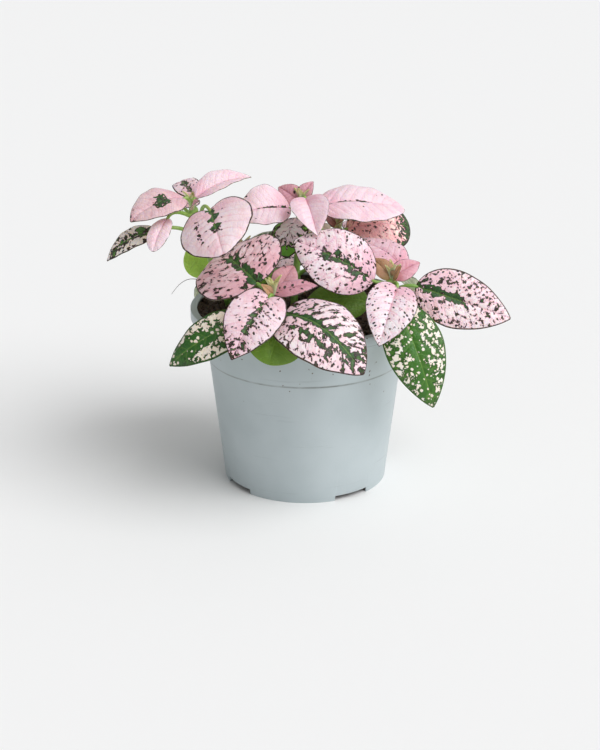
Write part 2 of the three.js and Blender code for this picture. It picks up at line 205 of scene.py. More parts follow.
# %% Helpers for materials
class Bench:
    """Adds nodes to one tree and joins them up."""

    def __init__(self, tree):
        self.tree = tree

    def add(self, kind, **settings):
        node = self.tree.nodes.new(kind)
        for name, value in settings.items():
            setattr(node, name, value)
        return node

    def plug(self, socket, value):
        if isinstance(value, bpy.types.NodeSocket):
            self.tree.links.new(value, socket)
        elif value is not None:
            socket.default_value = value

    def plug_row(self, sockets, *values):
        """Plugs values into the first sockets, in their order."""
        for socket, value in zip(sockets, values):
            self.plug(socket, value)

    def plug_named(self, sockets, **values):
        """Plugs values in by name.  A value's name is its socket's, with _ for a space."""
        for name, value in values.items():
            self.plug(sockets[name.replace("_", " ")], value)

    def sum(self, operation, a, b=None, c=None, clamp=False):
        node = self.add("ShaderNodeMath", operation=operation, use_clamp=clamp)
        self.plug_row(node.inputs, a, b, c)
        return node.outputs[0]

    def plus(self, a, b):
        return self.sum("ADD", a, b)

    def minus(self, a, b):
        return self.sum("SUBTRACT", a, b)

    def times(self, a, b):
        return self.sum("MULTIPLY", a, b)

    def times_plus(self, a, b, c):
        """a times b, plus c."""
        return self.sum("MULTIPLY_ADD", a, b, c)

    def size(self, a):
        """a without its sign."""
        return self.sum("ABSOLUTE", a)

    def vector(self, x, y, z):
        node = self.add("ShaderNodeCombineXYZ")
        self.plug_row(node.inputs, x, y, z)
        return node.outputs[0]

    def split(self, vector):
        node = self.add("ShaderNodeSeparateXYZ")
        self.plug(node.inputs[0], vector)
        return node.outputs

    def noise(self, vector, scale, detail=2.0, roughness=0.5, distortion=0.0):
        node = self.add("ShaderNodeTexNoise")
        self.plug_named(node.inputs, Vector=vector, Scale=scale, Detail=detail)
        self.plug_named(node.inputs, Roughness=roughness, Distortion=distortion)
        return node.outputs["Fac"]

    def step(self, value, low, high, start=0.0, end=1.0):
        """A soft step from start to end as value goes from low to high."""
        node = self.add("ShaderNodeMapRange", interpolation_type="SMOOTHSTEP")
        self.plug_row(node.inputs, value, low, high, start, end)
        return node.outputs["Result"]

    def mix(self, share, a, b):
        """Colour a, with a share of colour b in it."""
        node = self.add("ShaderNodeMix", data_type="RGBA")
        self.plug_named(node.inputs, Factor=share, A=a, B=b)
        return node.outputs["Result"]

    def bump(self, height, distance, strength):
        node = self.add("ShaderNodeBump")
        self.plug_named(node.inputs, Height=height, Distance=distance, Strength=strength)
        return node.outputs["Normal"]


def new_material(name):
    """A material, the bench for its nodes and its Principled shader."""
    material = bpy.data.materials.new(name)
    material.use_nodes = True
    return material, Bench(material.node_tree), material.node_tree.nodes["Principled BSDF"]


def new_group(name, inputs, outputs):
    """A shader node group.  inputs and outputs are lists of (name, socket type, default)."""
    group = bpy.data.node_groups.new(name, "ShaderNodeTree")
    for way, sockets in (("INPUT", inputs), ("OUTPUT", outputs)):
        for label, kind, default in sockets:
            socket = group.interface.new_socket(name=label, in_out=way, socket_type=kind)
            if default is not None:
                socket.default_value = default
    bench = Bench(group)
    return group, bench, bench.add("NodeGroupInput").outputs, bench.add("NodeGroupOutput").inputs


def place_group(bench, group, **values):
    """Puts a group into a material, with its values plugged in by name."""
    node = bench.add("ShaderNodeGroup", node_tree=group)
    bench.plug_named(node.inputs, **values)
    return node.outputs


NUMBER, COLOUR, VECTOR = "NodeSocketFloat", "NodeSocketColor", "NodeSocketVector"


def rgb(code):
    """A colour from its hex code, as the linear values that a shader takes."""
    parts = [int(code[i : i + 2], 16) / 255 for i in (0, 2, 4)]
    linear = [c / 12.92 if c < 0.04045 else ((c + 0.055) / 1.055) ** 2.4 for c in parts]
    return (*linear, 1)


# %% Floor
floor_paint, bench, shader = new_material("floor_paint")
bench.plug_named(shader.inputs, Base_Color=rgb("f2f2f2"), Roughness=0.9)

start_piece()
bpy.ops.mesh.primitive_plane_add(size=8)
floor = bpy.context.object
floor.name = "floor"
floor.data.materials.append(floor_paint)

# %% [markdown]
# ## The pot
#
# A nursery pot is thin moulded plastic: a tapered wall with one small step in it, a flat lip,
# and a foot ring with four notches that let water out.  It could be turned in one go with
# Spin.  Here a circle is extruded ring by ring instead, outside, over the lip and down the
# inside, because each extrusion is then one plain number pair: a radius and a height.

# %% Pot sizes
POT_SIDES = 160
POT_HEIGHT = 47
LIP_RADIUS = 30
LIP_HEIGHT = 2.5
LIP_WALL = 1.7
FOOT_RADIUS = 21.5
STEP_HEIGHT = 33.6
STEP_RADIUS = 25.4
STEP_DEPTH = 0.4
NECK_RADIUS = 27
WALL = 1.0
FOOT_RING = 1.2
FOOT_HEIGHT = 1.4
FLOOR = 1.2
NOTCHES = 4
NOTCH_START = 21
NOTCH_SWEEP = 27
DRAINS = 4
DRAIN_RADIUS = 2.5
DRAIN_CIRCLE = 12

LIP_UNDER = POT_HEIGHT - LIP_HEIGHT
FLOOR_TOP = FOOT_HEIGHT + FLOOR


def pot_wall(z):
    """Outside radius of the pot's wall at a height, in mm, without its lip."""
    if z < STEP_HEIGHT:
        return FOOT_RADIUS + (STEP_RADIUS - FOOT_RADIUS) * z / STEP_HEIGHT
    above = (z - STEP_HEIGHT) / (LIP_UNDER - STEP_HEIGHT)
    start = STEP_RADIUS + STEP_DEPTH
    return start + (NECK_RADIUS - start) * above


# Radius and height of each ring, from the middle of the underside round to the inside.
POT_RINGS = [
    (FOOT_RADIUS - FOOT_RING, FOOT_HEIGHT),
    (FOOT_RADIUS - FOOT_RING, 0),
    (FOOT_RADIUS, 0),
    (pot_wall(11), 11),
    (pot_wall(22), 22),
    (STEP_RADIUS, STEP_HEIGHT),
    (STEP_RADIUS + STEP_DEPTH, STEP_HEIGHT + 0.2),
    (pot_wall(39), 39),
    (NECK_RADIUS, LIP_UNDER),
    (LIP_RADIUS, LIP_UNDER),
    (LIP_RADIUS, POT_HEIGHT),
    (LIP_RADIUS - LIP_WALL, POT_HEIGHT),
    (LIP_RADIUS - LIP_WALL, LIP_UNDER + WALL),
    (NECK_RADIUS - WALL, LIP_UNDER - WALL),
    (pot_wall(STEP_HEIGHT) - WALL, STEP_HEIGHT),
    (STEP_RADIUS - WALL, STEP_HEIGHT - WALL),
    (pot_wall(FLOOR_TOP) - WALL, FLOOR_TOP),
]


# %% Turn the pot
def select_ring(piece, z, radius):
    """Selects, in edit mode, the vertices of one ring."""
    bpy.ops.mesh.select_all(action="DESELECT")
    bpy.ops.object.mode_set(mode="OBJECT")
    rows = points_of(piece) / MM
    near = (abs(rows[:, 2] - z) < 1e-3) & (abs(np.hypot(rows[:, 0], rows[:, 1]) - radius) < 1e-3)
    for vertex, chosen in zip(piece.data.vertices, near):
        vertex.select = bool(chosen)
    bpy.ops.object.mode_set(mode="EDIT")


def turn_rings(name, rings, sides):
    """A body of revolution: a circle at the first ring, extruded to each of the others."""
    start_piece()
    (radius, z), *others = rings
    bpy.ops.mesh.primitive_circle_add(vertices=sides, radius=radius * MM, location=(0, 0, z * MM))
    piece = bpy.context.object
    piece.name = name
    bpy.ops.object.transform_apply(location=True)
    bpy.ops.object.mode_set(mode="EDIT")
    for next_radius, next_z in others:
        bpy.ops.mesh.extrude_region_move(
            TRANSFORM_OT_translate={"value": (0, 0, (next_z - z) * MM)}
        )
        share = next_radius / radius
        bpy.ops.transform.resize(value=(share, share, 1), center_override=(0, 0, 0))
        radius, z = next_radius, next_z
    return piece


def close_rings(piece, *ends):
    """Ends the editing of a turned body: a face on each end ring, and all faces outwards."""
    for radius, z in ends:
        select_ring(piece, z, radius)
        bpy.ops.mesh.edge_face_add()
    bpy.ops.mesh.select_all(action="SELECT")
    bpy.ops.mesh.normals_make_consistent(inside=False)
    bpy.ops.object.mode_set(mode="OBJECT")


pot = turn_rings("pot_body", POT_RINGS, POT_SIDES)
close_rings(pot, POT_RINGS[-1], POT_RINGS[0])
print("pot rings:", len(POT_RINGS), "faces:", len(pot.data.polygons))


# %% [markdown]
# The notches and the drain holes are cut with Boolean modifiers.  A cutter is a plain block
# or rod, which is right for once: only the hole that it leaves is kept.

# %% Cut the notches and the drain holes
def cut(piece, cutter):
    modifier = piece.modifiers.new("cut", "BOOLEAN")
    modifier.operation = "DIFFERENCE"
    modifier.solver = "EXACT"
    modifier.object = cutter
    apply_modifiers(piece)
    bpy.data.objects.remove(cutter)


for i in range(NOTCHES):
    turn = math.radians(-90 + NOTCH_START + NOTCH_SWEEP / 2 + 360 / NOTCHES * i)
    width = 2 * FOOT_RADIUS * math.sin(math.radians(NOTCH_SWEEP / 2))
    reach = FOOT_RADIUS * math.cos(math.radians(NOTCH_SWEEP / 2))
    start_piece()
    bpy.ops.mesh.primitive_cube_add(
        size=1,
        location=(reach * math.cos(turn) * MM, reach * math.sin(turn) * MM, 0),
        rotation=(0, 0, turn),
        scale=(6 * FOOT_RING * MM, width * MM, 2 * FOOT_HEIGHT * MM),
    )
    cut(pot, bpy.context.object)

for i in range(DRAINS):
    turn = 2 * math.pi * i / DRAINS
    start_piece()
    bpy.ops.mesh.primitive_cylinder_add(
        vertices=24,
        radius=DRAIN_RADIUS * MM,
        depth=4 * FLOOR * MM,
        location=(
            DRAIN_CIRCLE * math.cos(turn) * MM,
            DRAIN_CIRCLE * math.sin(turn) * MM,
            FLOOR_TOP * MM,
        ),
    )
    cut(pot, bpy.context.object)

POT_EDGE = 0.25  # mm, radius of the mould's rounded edges
rounding = pot.modifiers.new("rounding", "BEVEL")
rounding.width = POT_EDGE * MM
rounding.segments = 2
rounding.limit_method = "ANGLE"
rounding.angle_limit = math.radians(40)
apply_modifiers(pot)
smooth(pot, 30)
print("pot faces:", len(pot.data.polygons))

# %% [markdown]
# ### Nursery plastic
#
# Moulded polypropylene is matte and faintly cloudy.  After some weeks of watering it has a few
# brown specks of peat dust and thin scuffs round the wall.  In the step and under the lip runs a
# dark line of painted shade with some dirt in it.  Dust and specks also turn up on other pieces,
# so each is a node group.

# %% Dust group
dust_group, bench, given, made = new_group(
    "peat_dust",
    [("Place", VECTOR, None), ("Speck Size", NUMBER, 1.0), ("Amount", NUMBER, 0.5)],
    [("Speck", NUMBER, None)],
)
grain = bench.noise(given["Place"], bench.sum("DIVIDE", 1400, given["Speck Size"]), 1.0)
patches = bench.noise(given["Place"], 130, 2.0)
level = bench.times_plus(patches, -0.22, 0.875)
level = bench.times_plus(given["Amount"], -0.1, level)
bench.plug(made["Speck"], bench.step(grain, level, bench.plus(level, 0.03)))
print("group:", dust_group.name)

# %% Pot plastic
pot_plastic, bench, shader = new_material("pot_plastic")
place = bench.add("ShaderNodeTexCoord").outputs["Object"]
x, y, z = bench.split(place)

cloud = bench.noise(place, 60, 3.0)
colour = bench.mix(bench.step(cloud, 0.3, 0.7), rgb("b3bec1"), rgb("bdc7ca"))

# Scuffs run round the wall, so their pattern is stretched sideways by squeezing its height.
stretched = bench.vector(x, y, bench.times(z, 14))
scuff = bench.step(bench.noise(stretched, 55, 4.0, 0.6), 0.62, 0.7, 0, 0.35)
colour = bench.mix(scuff, colour, rgb("a3aeb1"))

# A dark line is painted in the step and another under the lip: painted shade, with some dirt in it.
off_step = bench.size(bench.minus(z, (STEP_HEIGHT + 0.05) * MM))
in_step = bench.step(off_step, 0.45 * MM, 0.12 * MM)
off_lip = bench.size(bench.minus(z, (LIP_UNDER - 0.1) * MM))
shade_and_dirt_line = bench.sum("MAXIMUM", in_step, bench.step(off_lip, 0.5 * MM, 0.1 * MM))
uneven = bench.step(bench.noise(place, 300, 2.0), 0.3, 0.7, 0.35, 0.9)
colour = bench.mix(bench.times(shade_and_dirt_line, uneven), colour, rgb("7d827e"))

near_top = bench.step(z, 26 * MM, 42 * MM, -0.5, 0.45)
speck = place_group(bench, dust_group, Place=place, Speck_Size=1.7, Amount=near_top)["Speck"]
colour = bench.mix(bench.times(speck, 0.8), colour, rgb("5b4636"))

# Plastic that lies within the middle of the wall is darkened brown up to just under the top of
# the lip.  That takes in the underside of the floor, which a real pot keeps clean: the mask has no
# lower limit on z.  The stain is partly dried peat and partly painted shade, for the shadow that
# the leaves cast on the inside of the lip.
INSIDE_DARK_TOP, INSIDE_DARK_FULL = 46.9, 46.1  # mm, where the stain ends and where it is at its darkest
squares = bench.plus(bench.times(x, x), bench.times(y, y))
radius = bench.sum("SQRT", squares)
taper = (NECK_RADIUS - FOOT_RADIUS) / LIP_UNDER
mid_wall = bench.times_plus(z, taper, (FOOT_RADIUS - WALL / 2) * MM)
inside = bench.sum("LESS_THAN", radius, mid_wall)
in_lip = bench.sum("LESS_THAN", radius, (LIP_RADIUS - LIP_WALL + 0.5) * MM)
in_lip = bench.times(in_lip, bench.sum("GREATER_THAN", z, (LIP_UNDER + 0.5) * MM))
inside = bench.sum("MAXIMUM", inside, in_lip)
stain_and_shade = bench.times(inside, bench.step(z, INSIDE_DARK_TOP * MM, INSIDE_DARK_FULL * MM))
stain_and_shade = bench.times(stain_and_shade, bench.step(cloud, 0.1, 0.5))
colour = bench.mix(stain_and_shade, colour, rgb("3c3028"))

grain = bench.noise(place, 1500, 2.0)
relief = bench.times_plus(speck, 3.0, grain)
bench.plug_named(
    shader.inputs,
    Base_Color=colour,
    Roughness=bench.step(cloud, 0.2, 0.8, 0.42, 0.55),
    Specular_IOR_Level=0.4,
    Subsurface_Weight=0.08,
    Subsurface_Radius=(1, 1, 1),
    Subsurface_Scale=1.5 * MM,
    Normal=bench.bump(relief, 0.03 * MM, 0.5),
)

finish_piece(pot, pot_plastic, "pot_plastic", "pot")

# %% [markdown]
# ## Soil
#
# Peat is a bed of crumbs.  The bed itself is one closed body, turned like the pot, with its
# surface roughened by noise.  Loose crumbs and short fibres lie half sunk in it.  Their
# places come from a seeded generator, so that every run gives the same soil.

# %% Soil bed
SOIL_TOP = 45.5
SOIL_GAP = 0.3
SOIL_BOTTOM = FLOOR_TOP + SOIL_GAP
SOIL_EDGE = SOIL_TOP - 0.7
SOIL_ROUGHNESS = 0.8  # mm
SOIL_SIDES = 120
DIP_START = 20  # mm from the middle, where the surface starts to fall away
DIP = 0.02


def level_height(radius):
    """Height of the soil before it is roughened, in mm."""
    return SOIL_TOP - DIP * max(0.0, radius - DIP_START) ** 2


def lumps(x, y):
    """Unevenness of the peat, roughly from -1 to 1."""
    return noise.fractal(Vector((x, y, 3)) * 0.35, 0.8, 2.2, 4)


def soil_height(x, y):
    """Height of the soil's surface, in mm."""
    return level_height(math.hypot(x, y)) + SOIL_ROUGHNESS * lumps(x, y)


SOIL_RINGS = [(pot_wall(z) - WALL - SOIL_GAP, z) for z in (SOIL_BOTTOM, 32, 38, SOIL_EDGE)]
SOIL_RINGS += [(r, level_height(r)) for r in np.arange(25, 0.4, -0.7).round(2)]

soil = turn_rings("soil_bed", SOIL_RINGS, SOIL_SIDES)
close_rings(soil, SOIL_RINGS[-1], SOIL_RINGS[0])
rows = points_of(soil) / MM
for row in rows:
    if row[2] > SOIL_EDGE + 0.2:
        row[2] = soil_height(row[0], row[1])
set_points(soil, rows * MM)
smooth(soil, 60)
print("soil faces:", len(soil.data.polygons))

# %% Soil on the ledge
# More of it has settled on the sloping ledge between the wall and the lip.  Its rings, each a
# radius and a height, run round the fill's section and end where they began.
LEDGE_START = 25.4
LEDGE_HEIGHT = 45.1  # mm, of the fill's surface at its inner edge
LEDGE_RISE = 0.29  # mm for each mm outwards
LEDGE_ROUGHNESS = 0.3  # mm
LEDGE_FILL = [(25.6, 44.5), (26.3, 44.0), (28.1, 45.6), (28.2, 45.9), (27.2, 45.6), (26.3, 45.35)]
LEDGE_FILL += [(LEDGE_START, LEDGE_HEIGHT), LEDGE_FILL[0]]

ledge_soil = turn_rings("ledge_soil", LEDGE_FILL, SOIL_SIDES)
bpy.ops.mesh.select_all(action="SELECT")
bpy.ops.mesh.remove_doubles(threshold=0.01 * MM)
close_rings(ledge_soil)
rows = points_of(ledge_soil) / MM
for row in rows:
    if row[2] > 45:
        row[2] += LEDGE_ROUGHNESS * lumps(row[0], row[1])
set_points(ledge_soil, rows * MM)
smooth(ledge_soil, 60)


def bed_height(x, y):
    """Height of the soil's surface, with what lies on the ledge, in mm."""
    radius = math.hypot(x, y)
    if radius > LEDGE_START:
        return LEDGE_HEIGHT + LEDGE_RISE * (radius - LEDGE_START)
    return soil_height(x, y)


# %% Crumbs and fibres
CRUMBS = 1300
CRUMB_REACH = 27.8  # mm, over the soil and the ledge inside the lip
FIBRES = 60
FIBRE_REACH = 24  # mm
FIBRE_RADIUS = 0.09  # mm
draw = np.random.default_rng(7)


def scatter_on_soil(reach):
    radius = reach * math.sqrt(draw.random())
    turn = 2 * math.pi * draw.random()
    return radius * math.cos(turn), radius * math.sin(turn)


def copy_mesh(name, mesh, rows):
    piece = bpy.data.objects.new(name, mesh.copy())
    bpy.context.collection.objects.link(piece)
    set_points(piece, rows * MM)
    return piece


start_piece()
bpy.ops.mesh.primitive_ico_sphere_add(subdivisions=1, radius=1)
pattern = bpy.context.object
ball = points_of(pattern)
crumbs = []
for i in range(CRUMBS):
    x, y = scatter_on_soil(CRUMB_REACH)
    size = 0.22 + 0.75 * draw.random() ** 3
    stretch = size * (0.6 + 0.8 * draw.random((1, 3)))
    rows = ball * stretch * (0.75 + 0.5 * draw.random((len(ball), 1)))
    crumbs.append(copy_mesh("crumb", pattern.data, rows + [x, y, bed_height(x, y) + 0.2 * size]))
bpy.data.objects.remove(pattern)

for i in range(FIBRES):
    x, y = scatter_on_soil(FIBRE_REACH)
    turn, length = 2 * math.pi * draw.random(), 1.5 + 2.5 * draw.random()
    bpy.ops.mesh.primitive_cylinder_add(
        vertices=5,
        radius=FIBRE_RADIUS * MM,
        depth=length * MM,
        location=Vector((x, y, soil_height(x, y) + 0.3)) * MM,
        rotation=(math.pi / 2 - 0.25 + 0.5 * draw.random(), 0, turn),
    )
    crumbs.append(bpy.context.object)

crumbs = join_pieces([*crumbs, ledge_soil], "soil_crumbs")
print("crumb faces:", len(crumbs.data.polygons))

# %% Peat
peat, bench, shader = new_material("peat")
place = bench.add("ShaderNodeTexCoord").outputs["Object"]
fine = bench.noise(place, 900, 4.0, 0.65)
coarse = bench.noise(place, 220, 3.0)
colour = bench.mix(bench.step(fine, 0.3, 0.7), rgb("1e1510"), rgb("4d3a2a"))
colour = bench.mix(bench.step(coarse, 0.55, 0.75, 0, 0.6), colour, rgb("6d5237"))
bench.plug_named(
    shader.inputs,
    Base_Color=colour,
    Roughness=bench.step(coarse, 0.3, 0.7, 0.8, 0.98),
    Normal=bench.bump(fine, 0.4 * MM, 0.8),
)

finish_piece(soil, peat, "peat", "soil")
finish_piece(crumbs, peat, "peat")

# %% [markdown]
# ## The plant's plan
#
# The same plan made the CAD model, in millimetres.  A stem is a few points from its hole to
# its growing tip.  A leaf is the two ends of its midrib, the way that its upper side faces
# and its width, with how far each half folds up, how high the midrib arches and how far the
# lobes at its base reach back.  `look` names its colouring, further down.

# %% Stems and leaves
STEMS = {
    "left": [(-20, 3, SOIL_TOP), (-25, 2, 60), (-29, 1, 73)],
    "front": [(-9, -14, SOIL_TOP), (-9, -18, 51), (-8, -21, 57)],
    "middle": [(-3, 3, SOIL_TOP), (-2, 4, 60), (-1, 6, 73)],
    "right": [(18, -8, SOIL_TOP), (21, -10, 51), (22, -12, 58)],
    "inner": [(12, 10, SOIL_TOP), (10, 12, 55), (9, 14, 64)],
    "back": [(6, 20, SOIL_TOP), (5, 24, 52), (4, 27, 60)],
    "rear": [(-12, 15, SOIL_TOP), (-15, 18, 50), (-17, 21, 55)],
}

# Shoot, height on the stem, from, to, face, width, fold, arch, lobe, bend, blunt, look.
LEAVES = [
    ("left", 72, (-31, -1, 76), (-44, -9, 72), (-1, -2, 4), 13, 15, 2, 0, 0, 0.2, "blotched_blush"),
    ("left", 72, (-29, 4, 75), (-34, 16, 75), (-1, 0, 3), 7, 15, 2, 0, 0.5, 0, "dotted"),
    ("left", 72, (-28, -1, 76), (-14, 5, 80), (0, -1, 3), 10, 35, 1, 0, -0.6, 0, "plain_blush"),
    ("left", 70, (-35, -6, 72), (-38, -15, 66), (-1, -3, 3), 6, 15, 1, 0, 0, 0.8, "plain_blush"),
    ("left", 65, (-38, -3, 68), (-51, -3, 60), (-1, -2, 4), 8, 10, 2, 0, 0.5, 0.2, "patchy"),
    ("left", 67, (-24, -9, 75), (-20, -25, 68), (-2, -3, 4), 20, 5, 2, 3, -0.6, 0.4, "streaked_blush"),
    ("left", 61, (-24, 8, 60), (-31, 6, 54), (0, -1, 1), 10, 5, 1, 0, 0, 0.8, "bright_green"),
    ("left", 65, (-32, 8, 71), (-40, 26, 68), (0, 1, 4), 13, 10, 2, 0, 0.8, 0.1, "dotted"),
    ("left", 62, (-23, 8, 68), (-14, 20, 66), (1, 1, 4), 12, 10, 2, 0, -0.6, 0.2, "mottled"),
    ("front", 56, (-12, -19, 59), (-22, 0, 61), (-2, -1, 4), 25, 12, 2, 1, 0, 0.4, "dashed"),
    ("front", 55, (-9, -24, 57), (-18, -36, 45), (-1, -4, 3), 15, 15, 2, 2, 0, 0, "dotted"),
    ("front", 50, (-14, -22, 51), (-34, -24, 39), (-1, -3, 3), 12, 5, 4, 0, -0.8, 0.1, "splashed"),
    ("front", 53, (-5, -25, 53), (14, -38, 42), (2, -4, 4), 20, 5, 5, 2, 0, 0.3, "barred"),
    ("front", 49, (-6, -25, 51), (-9, -34, 43), (0, -3, 2), 15, 5, 2, 0, 0, 0.7, "green"),
    ("middle", 71, (-4, 4, 72), (-18, 1, 70), (0, -2, 3), 15, 25, 2, 0, 0, 0.2, "lined_blush"),
    ("middle", 72, (0, 3, 75), (3, -11, 69), (0, -1, 1), 12, 35, 1, 0, 0, 0.1, "plain_blush"),
    ("middle", 70, (3, 6, 72), (26, 10, 70), (0, -1, 3), 17, 10, 2, 0, 0, 0.5, "lined_blush"),
    ("middle", 66, (-2, 2, 70), (-5, -4, 61), (-2, -3, 2), 11, 10, 2, 0, 0, 0.4, "shaded_mottled"),
    ("middle", 62, (-6, 9, 64), (-15, 13, 60), (-1, 1, 2), 11, 10, 1, 0, 0.5, 0.3, "specked"),
    ("middle", 71, (-3, 11, 72), (-8, 30, 67), (0, 1, 4), 13, 15, 2, 0, -0.8, 0.1, "dotted"),
    ("middle", 53, (3, 2, 56), (16, 1, 52), (0, 0, 1), 13, 10, 2, 0, 0.5, 0.2, "specked"),
    ("middle", 54, (-7, 2, 56), (-17, -4, 52), (0, 0, 1), 11, 10, 2, 0, -0.5, 0.2, "green"),
    ("right", 57, (17, -14, 58), (-3, -9, 67), (-1, -3, 3), 17, 10, 3, 0, 0, 0.2, "patched"),
    ("right", 57, (25, -8, 59), (12, 5, 63), (0, -1, 4), 12, 10, 2, 0, 0.5, 0.3, "freckled_blush"),
    ("right", 54, (28, -12, 56), (52, -14, 48), (0, -2, 1), 15, 10, 1, 0, 0, 0.1, "half_mottled"),
    ("right", 56, (23, -16, 57), (18, -29, 46), (0, -3, 2), 14, 25, 2, 1, 0, 0.1, "chalk_dotted"),
    ("right", 50, (23, -18, 53), (32, -27, 29), (0, -3, 2), 15, 5, 5, 0, 0, 0.1, "specked"),
    ("right", 48, (16, -12, 52), (0, -13, 52), (0, -2, 2), 11, 5, 1, 0, 0.4, 0.3, "green"),
    ("right", 47, (28, -3, 50), (43, 8, 41), (1, 1, 3), 14, 10, 3, 0, -0.8, 0.1, "mottled"),
    ("inner", 62, (11, 13, 64), (28, 18, 63), (0, -1, 1), 16, 10, 2, 0, 0, 0.9, "salmon_based"),
    ("inner", 58, (12, 18, 62), (22, 34, 55), (1, 1, 4), 13, 10, 3, 0, 0.8, 0.1, "dotted"),
    ("inner", 51, (16, 13, 53), (33, 25, 40), (1, 1, 3), 12, 5, 4, 0, -0.8, 0.2, "splashed"),
    ("back", 59, (3, 30, 61), (-3, 40, 49), (0, 2, 3), 13, 15, 3, 0, 0.8, 0.1, "plain_blush"),
    ("back", 56, (8, 28, 57), (20, 37, 46), (1, 2, 2), 14, 10, 3, 0, -0.6, 0.2, "mottled"),
    ("back", 52, (0, 24, 52), (-11, 21, 51), (0, 0, 1), 12, 10, 1, 0, 0.4, 0.2, "dotted"),
    ("back", 49, (4, 28, 49), (6, 39, 35), (0, 3, 1), 14, 5, 3, 0, 0.6, 0.1, "specked"),
    ("rear", 54, (-20, 20, 55), (-30, 28, 49), (-1, 0, 3), 12, 15, 2, 0, -0.7, 0.1, "dotted"),
    ("rear", 54, (-17, 25, 53), (-21, 39, 44), (0, 2, 2), 13, 10, 3, 0, 0.8, 0, "mottled"),
    ("rear", 49, (-21, 19, 50), (-30, 23, 41), (-2, 1, 2), 11, 5, 3, 0, 0.5, 0.2, "splashed"),
    ("rear", 49, (-12, 22, 50), (-8, 37, 41), (0, 2, 3), 12, 5, 3, 0, -0.8, 0.1, "green"),
]

# The small leaves round each growing tip: shoot, from, to, face, width, fold, arch, look.
YOUNG = [
    ("left", (-29, 0, 73), (-27, -4, 76), (0, -1, 1), 3, 30, 0.5, "young_rose"),
    ("front", (-7, -20, 57), (-3, -14, 62), (0, -2, 1), 7, 20, 1, "young_salmon"),
    ("front", (-8, -21, 57), (3, -18, 58), (0, -1, 2), 6, 15, 1, "young_dotted"),
    ("front", (-8, -21, 56), (-11, -23, 60), (0, -1, 1), 3, 30, 0.5, "young_tan"),
    ("middle", (-1, 6, 73), (-7, 10, 76), (0, -2, 1), 6, 20, 1, "young_rose"),
    ("middle", (-1, 6, 73), (2, 8, 78), (-1, -2, 1), 5, 25, 1, "young_rose"),
    ("right", (22, -12, 58), (17, -8, 62), (0, -2, 1), 5, 20, 1, "young_tan"),
    ("right", (22, -12, 58), (29, -8, 61), (0, -2, 2), 6, 20, 1, "young_rose"),
    ("right", (22, -12, 58), (24, -14, 62), (0, -1, 1), 3, 30, 0.5, "young_tan"),
    ("inner", (9, 14, 64), (5, 16, 67), (0, -1, 2), 4, 20, 0.5, "young_salmon"),
    ("inner", (9, 14, 64), (10, 10, 67), (0, -1, 1), 4, 30, 0.5, "young_tan"),
    ("back", (4, 27, 60), (9, 31, 63), (0, 1, 2), 5, 20, 1, "young_salmon"),
    ("back", (4, 27, 60), (0, 25, 64), (0, 1, 1), 4, 25, 0.5, "young_tan"),
    ("rear", (-17, 21, 55), (-21, 25, 58), (0, 1, 2), 5, 20, 1, "young_salmon"),
    ("rear", (-17, 21, 55), (-14, 19, 59), (0, -1, 1), 4, 25, 0.5, "young_tan"),
]


class Leaf:
    """One row of the plan, with a name and a seed of its own."""

    def __init__(self, name, seed, row):
        self.name, self.seed = name, seed
        self.node = name.replace("blade", "leaf")
        self.shoot, self.at, start, end, face, self.width, fold, *bends, self.look = row
        self.start, self.end = np.array(start, float), np.array(end, float)
        self.fold = math.radians(fold)
        self.arch, self.lobe, self.bend, self.blunt = bends
        self.length = np.linalg.norm(self.end - self.start)
        self.along = (self.end - self.start) / self.length
        side = np.cross(self.along, face)
        self.side = side / np.linalg.norm(side)
        self.up = np.cross(self.side, self.along)


leaves, young = [], []
for row in LEAVES:
    number = 1 + sum(leaf.shoot == row[0] for leaf in leaves)
    leaves.append(Leaf(f"blade_{row[0]}_{number}", len(leaves), row))
for shoot, start, end, face, width, fold, arch, look in YOUNG:
    row = (shoot, None, start, end, face, width, fold, arch, 0, 0, 0, look)
    young.append(Leaf(f"young_{shoot}", len(LEAVES) + len(young), row))
print("leaves:", len(leaves), "young leaves:", len(young))

# %% [markdown]
# ## A leaf's shape
#
# A blade is a sheet of tissue that follows its veins.  It is widest a little before the
# middle, its two halves fold up from the midrib and arch over, and its margin waves.  Between
# the side veins the tissue stands up in soft pillows, which is what makes a living leaf catch
# the light unevenly.
#
# A flat grid is added first.  Then one function bends it to all of these forms at once, from
# a vertex's place on the leaf: `t` along the midrib and `v` across it.  Sculpting forty
# leaves by hand would give no better surface, and the formula keeps each one where the CAD
# model has it.

# %% Leaf form
SHOULDER = 0.55
TAPER = 0.9
BLUNTER = 0.45  # how much less a wholly blunt leaf tapers
STALK_WIDTH = 1.2
TIP_WIDTH = 0.5
CROWN = 0.25
WAVES = 3.5
WAVE = 0.012
LOBE_END = 6
LOBE_SCALE = 1 / (math.sqrt(0.5 / (LOBE_END + 0.5)) * (LOBE_END / (LOBE_END + 0.5)) ** LOBE_END)

SIDE_VEINS = 7  # on each half
VEIN_LEAN = 0.3  # how far a side vein runs on towards the tip by the time it meets the margin
PILLOW = 0.011  # height of the tissue between the veins, as a share of the leaf's width
MIDRIB_GROOVE = 0.28  # mm


def half_width(leaf, t):
    taper = TAPER - BLUNTER * leaf.blunt
    widest = SHOULDER / (SHOULDER + taper)
    fullest = widest**SHOULDER * (1 - widest) ** taper
    shape = leaf.width / 2 * t**SHOULDER * (1 - t) ** taper / fullest
    least = (STALK_WIDTH + (TIP_WIDTH - STALK_WIDTH) * t) / 2
    return np.hypot(shape, least)


def vein_phase(t, v):
    """A whole number on each side vein, and halfway to the next one between them."""
    return SIDE_VEINS * (t - VEIN_LEAN * abs(v) ** 1.3 * (1 - 0.6 * t)) / 0.85


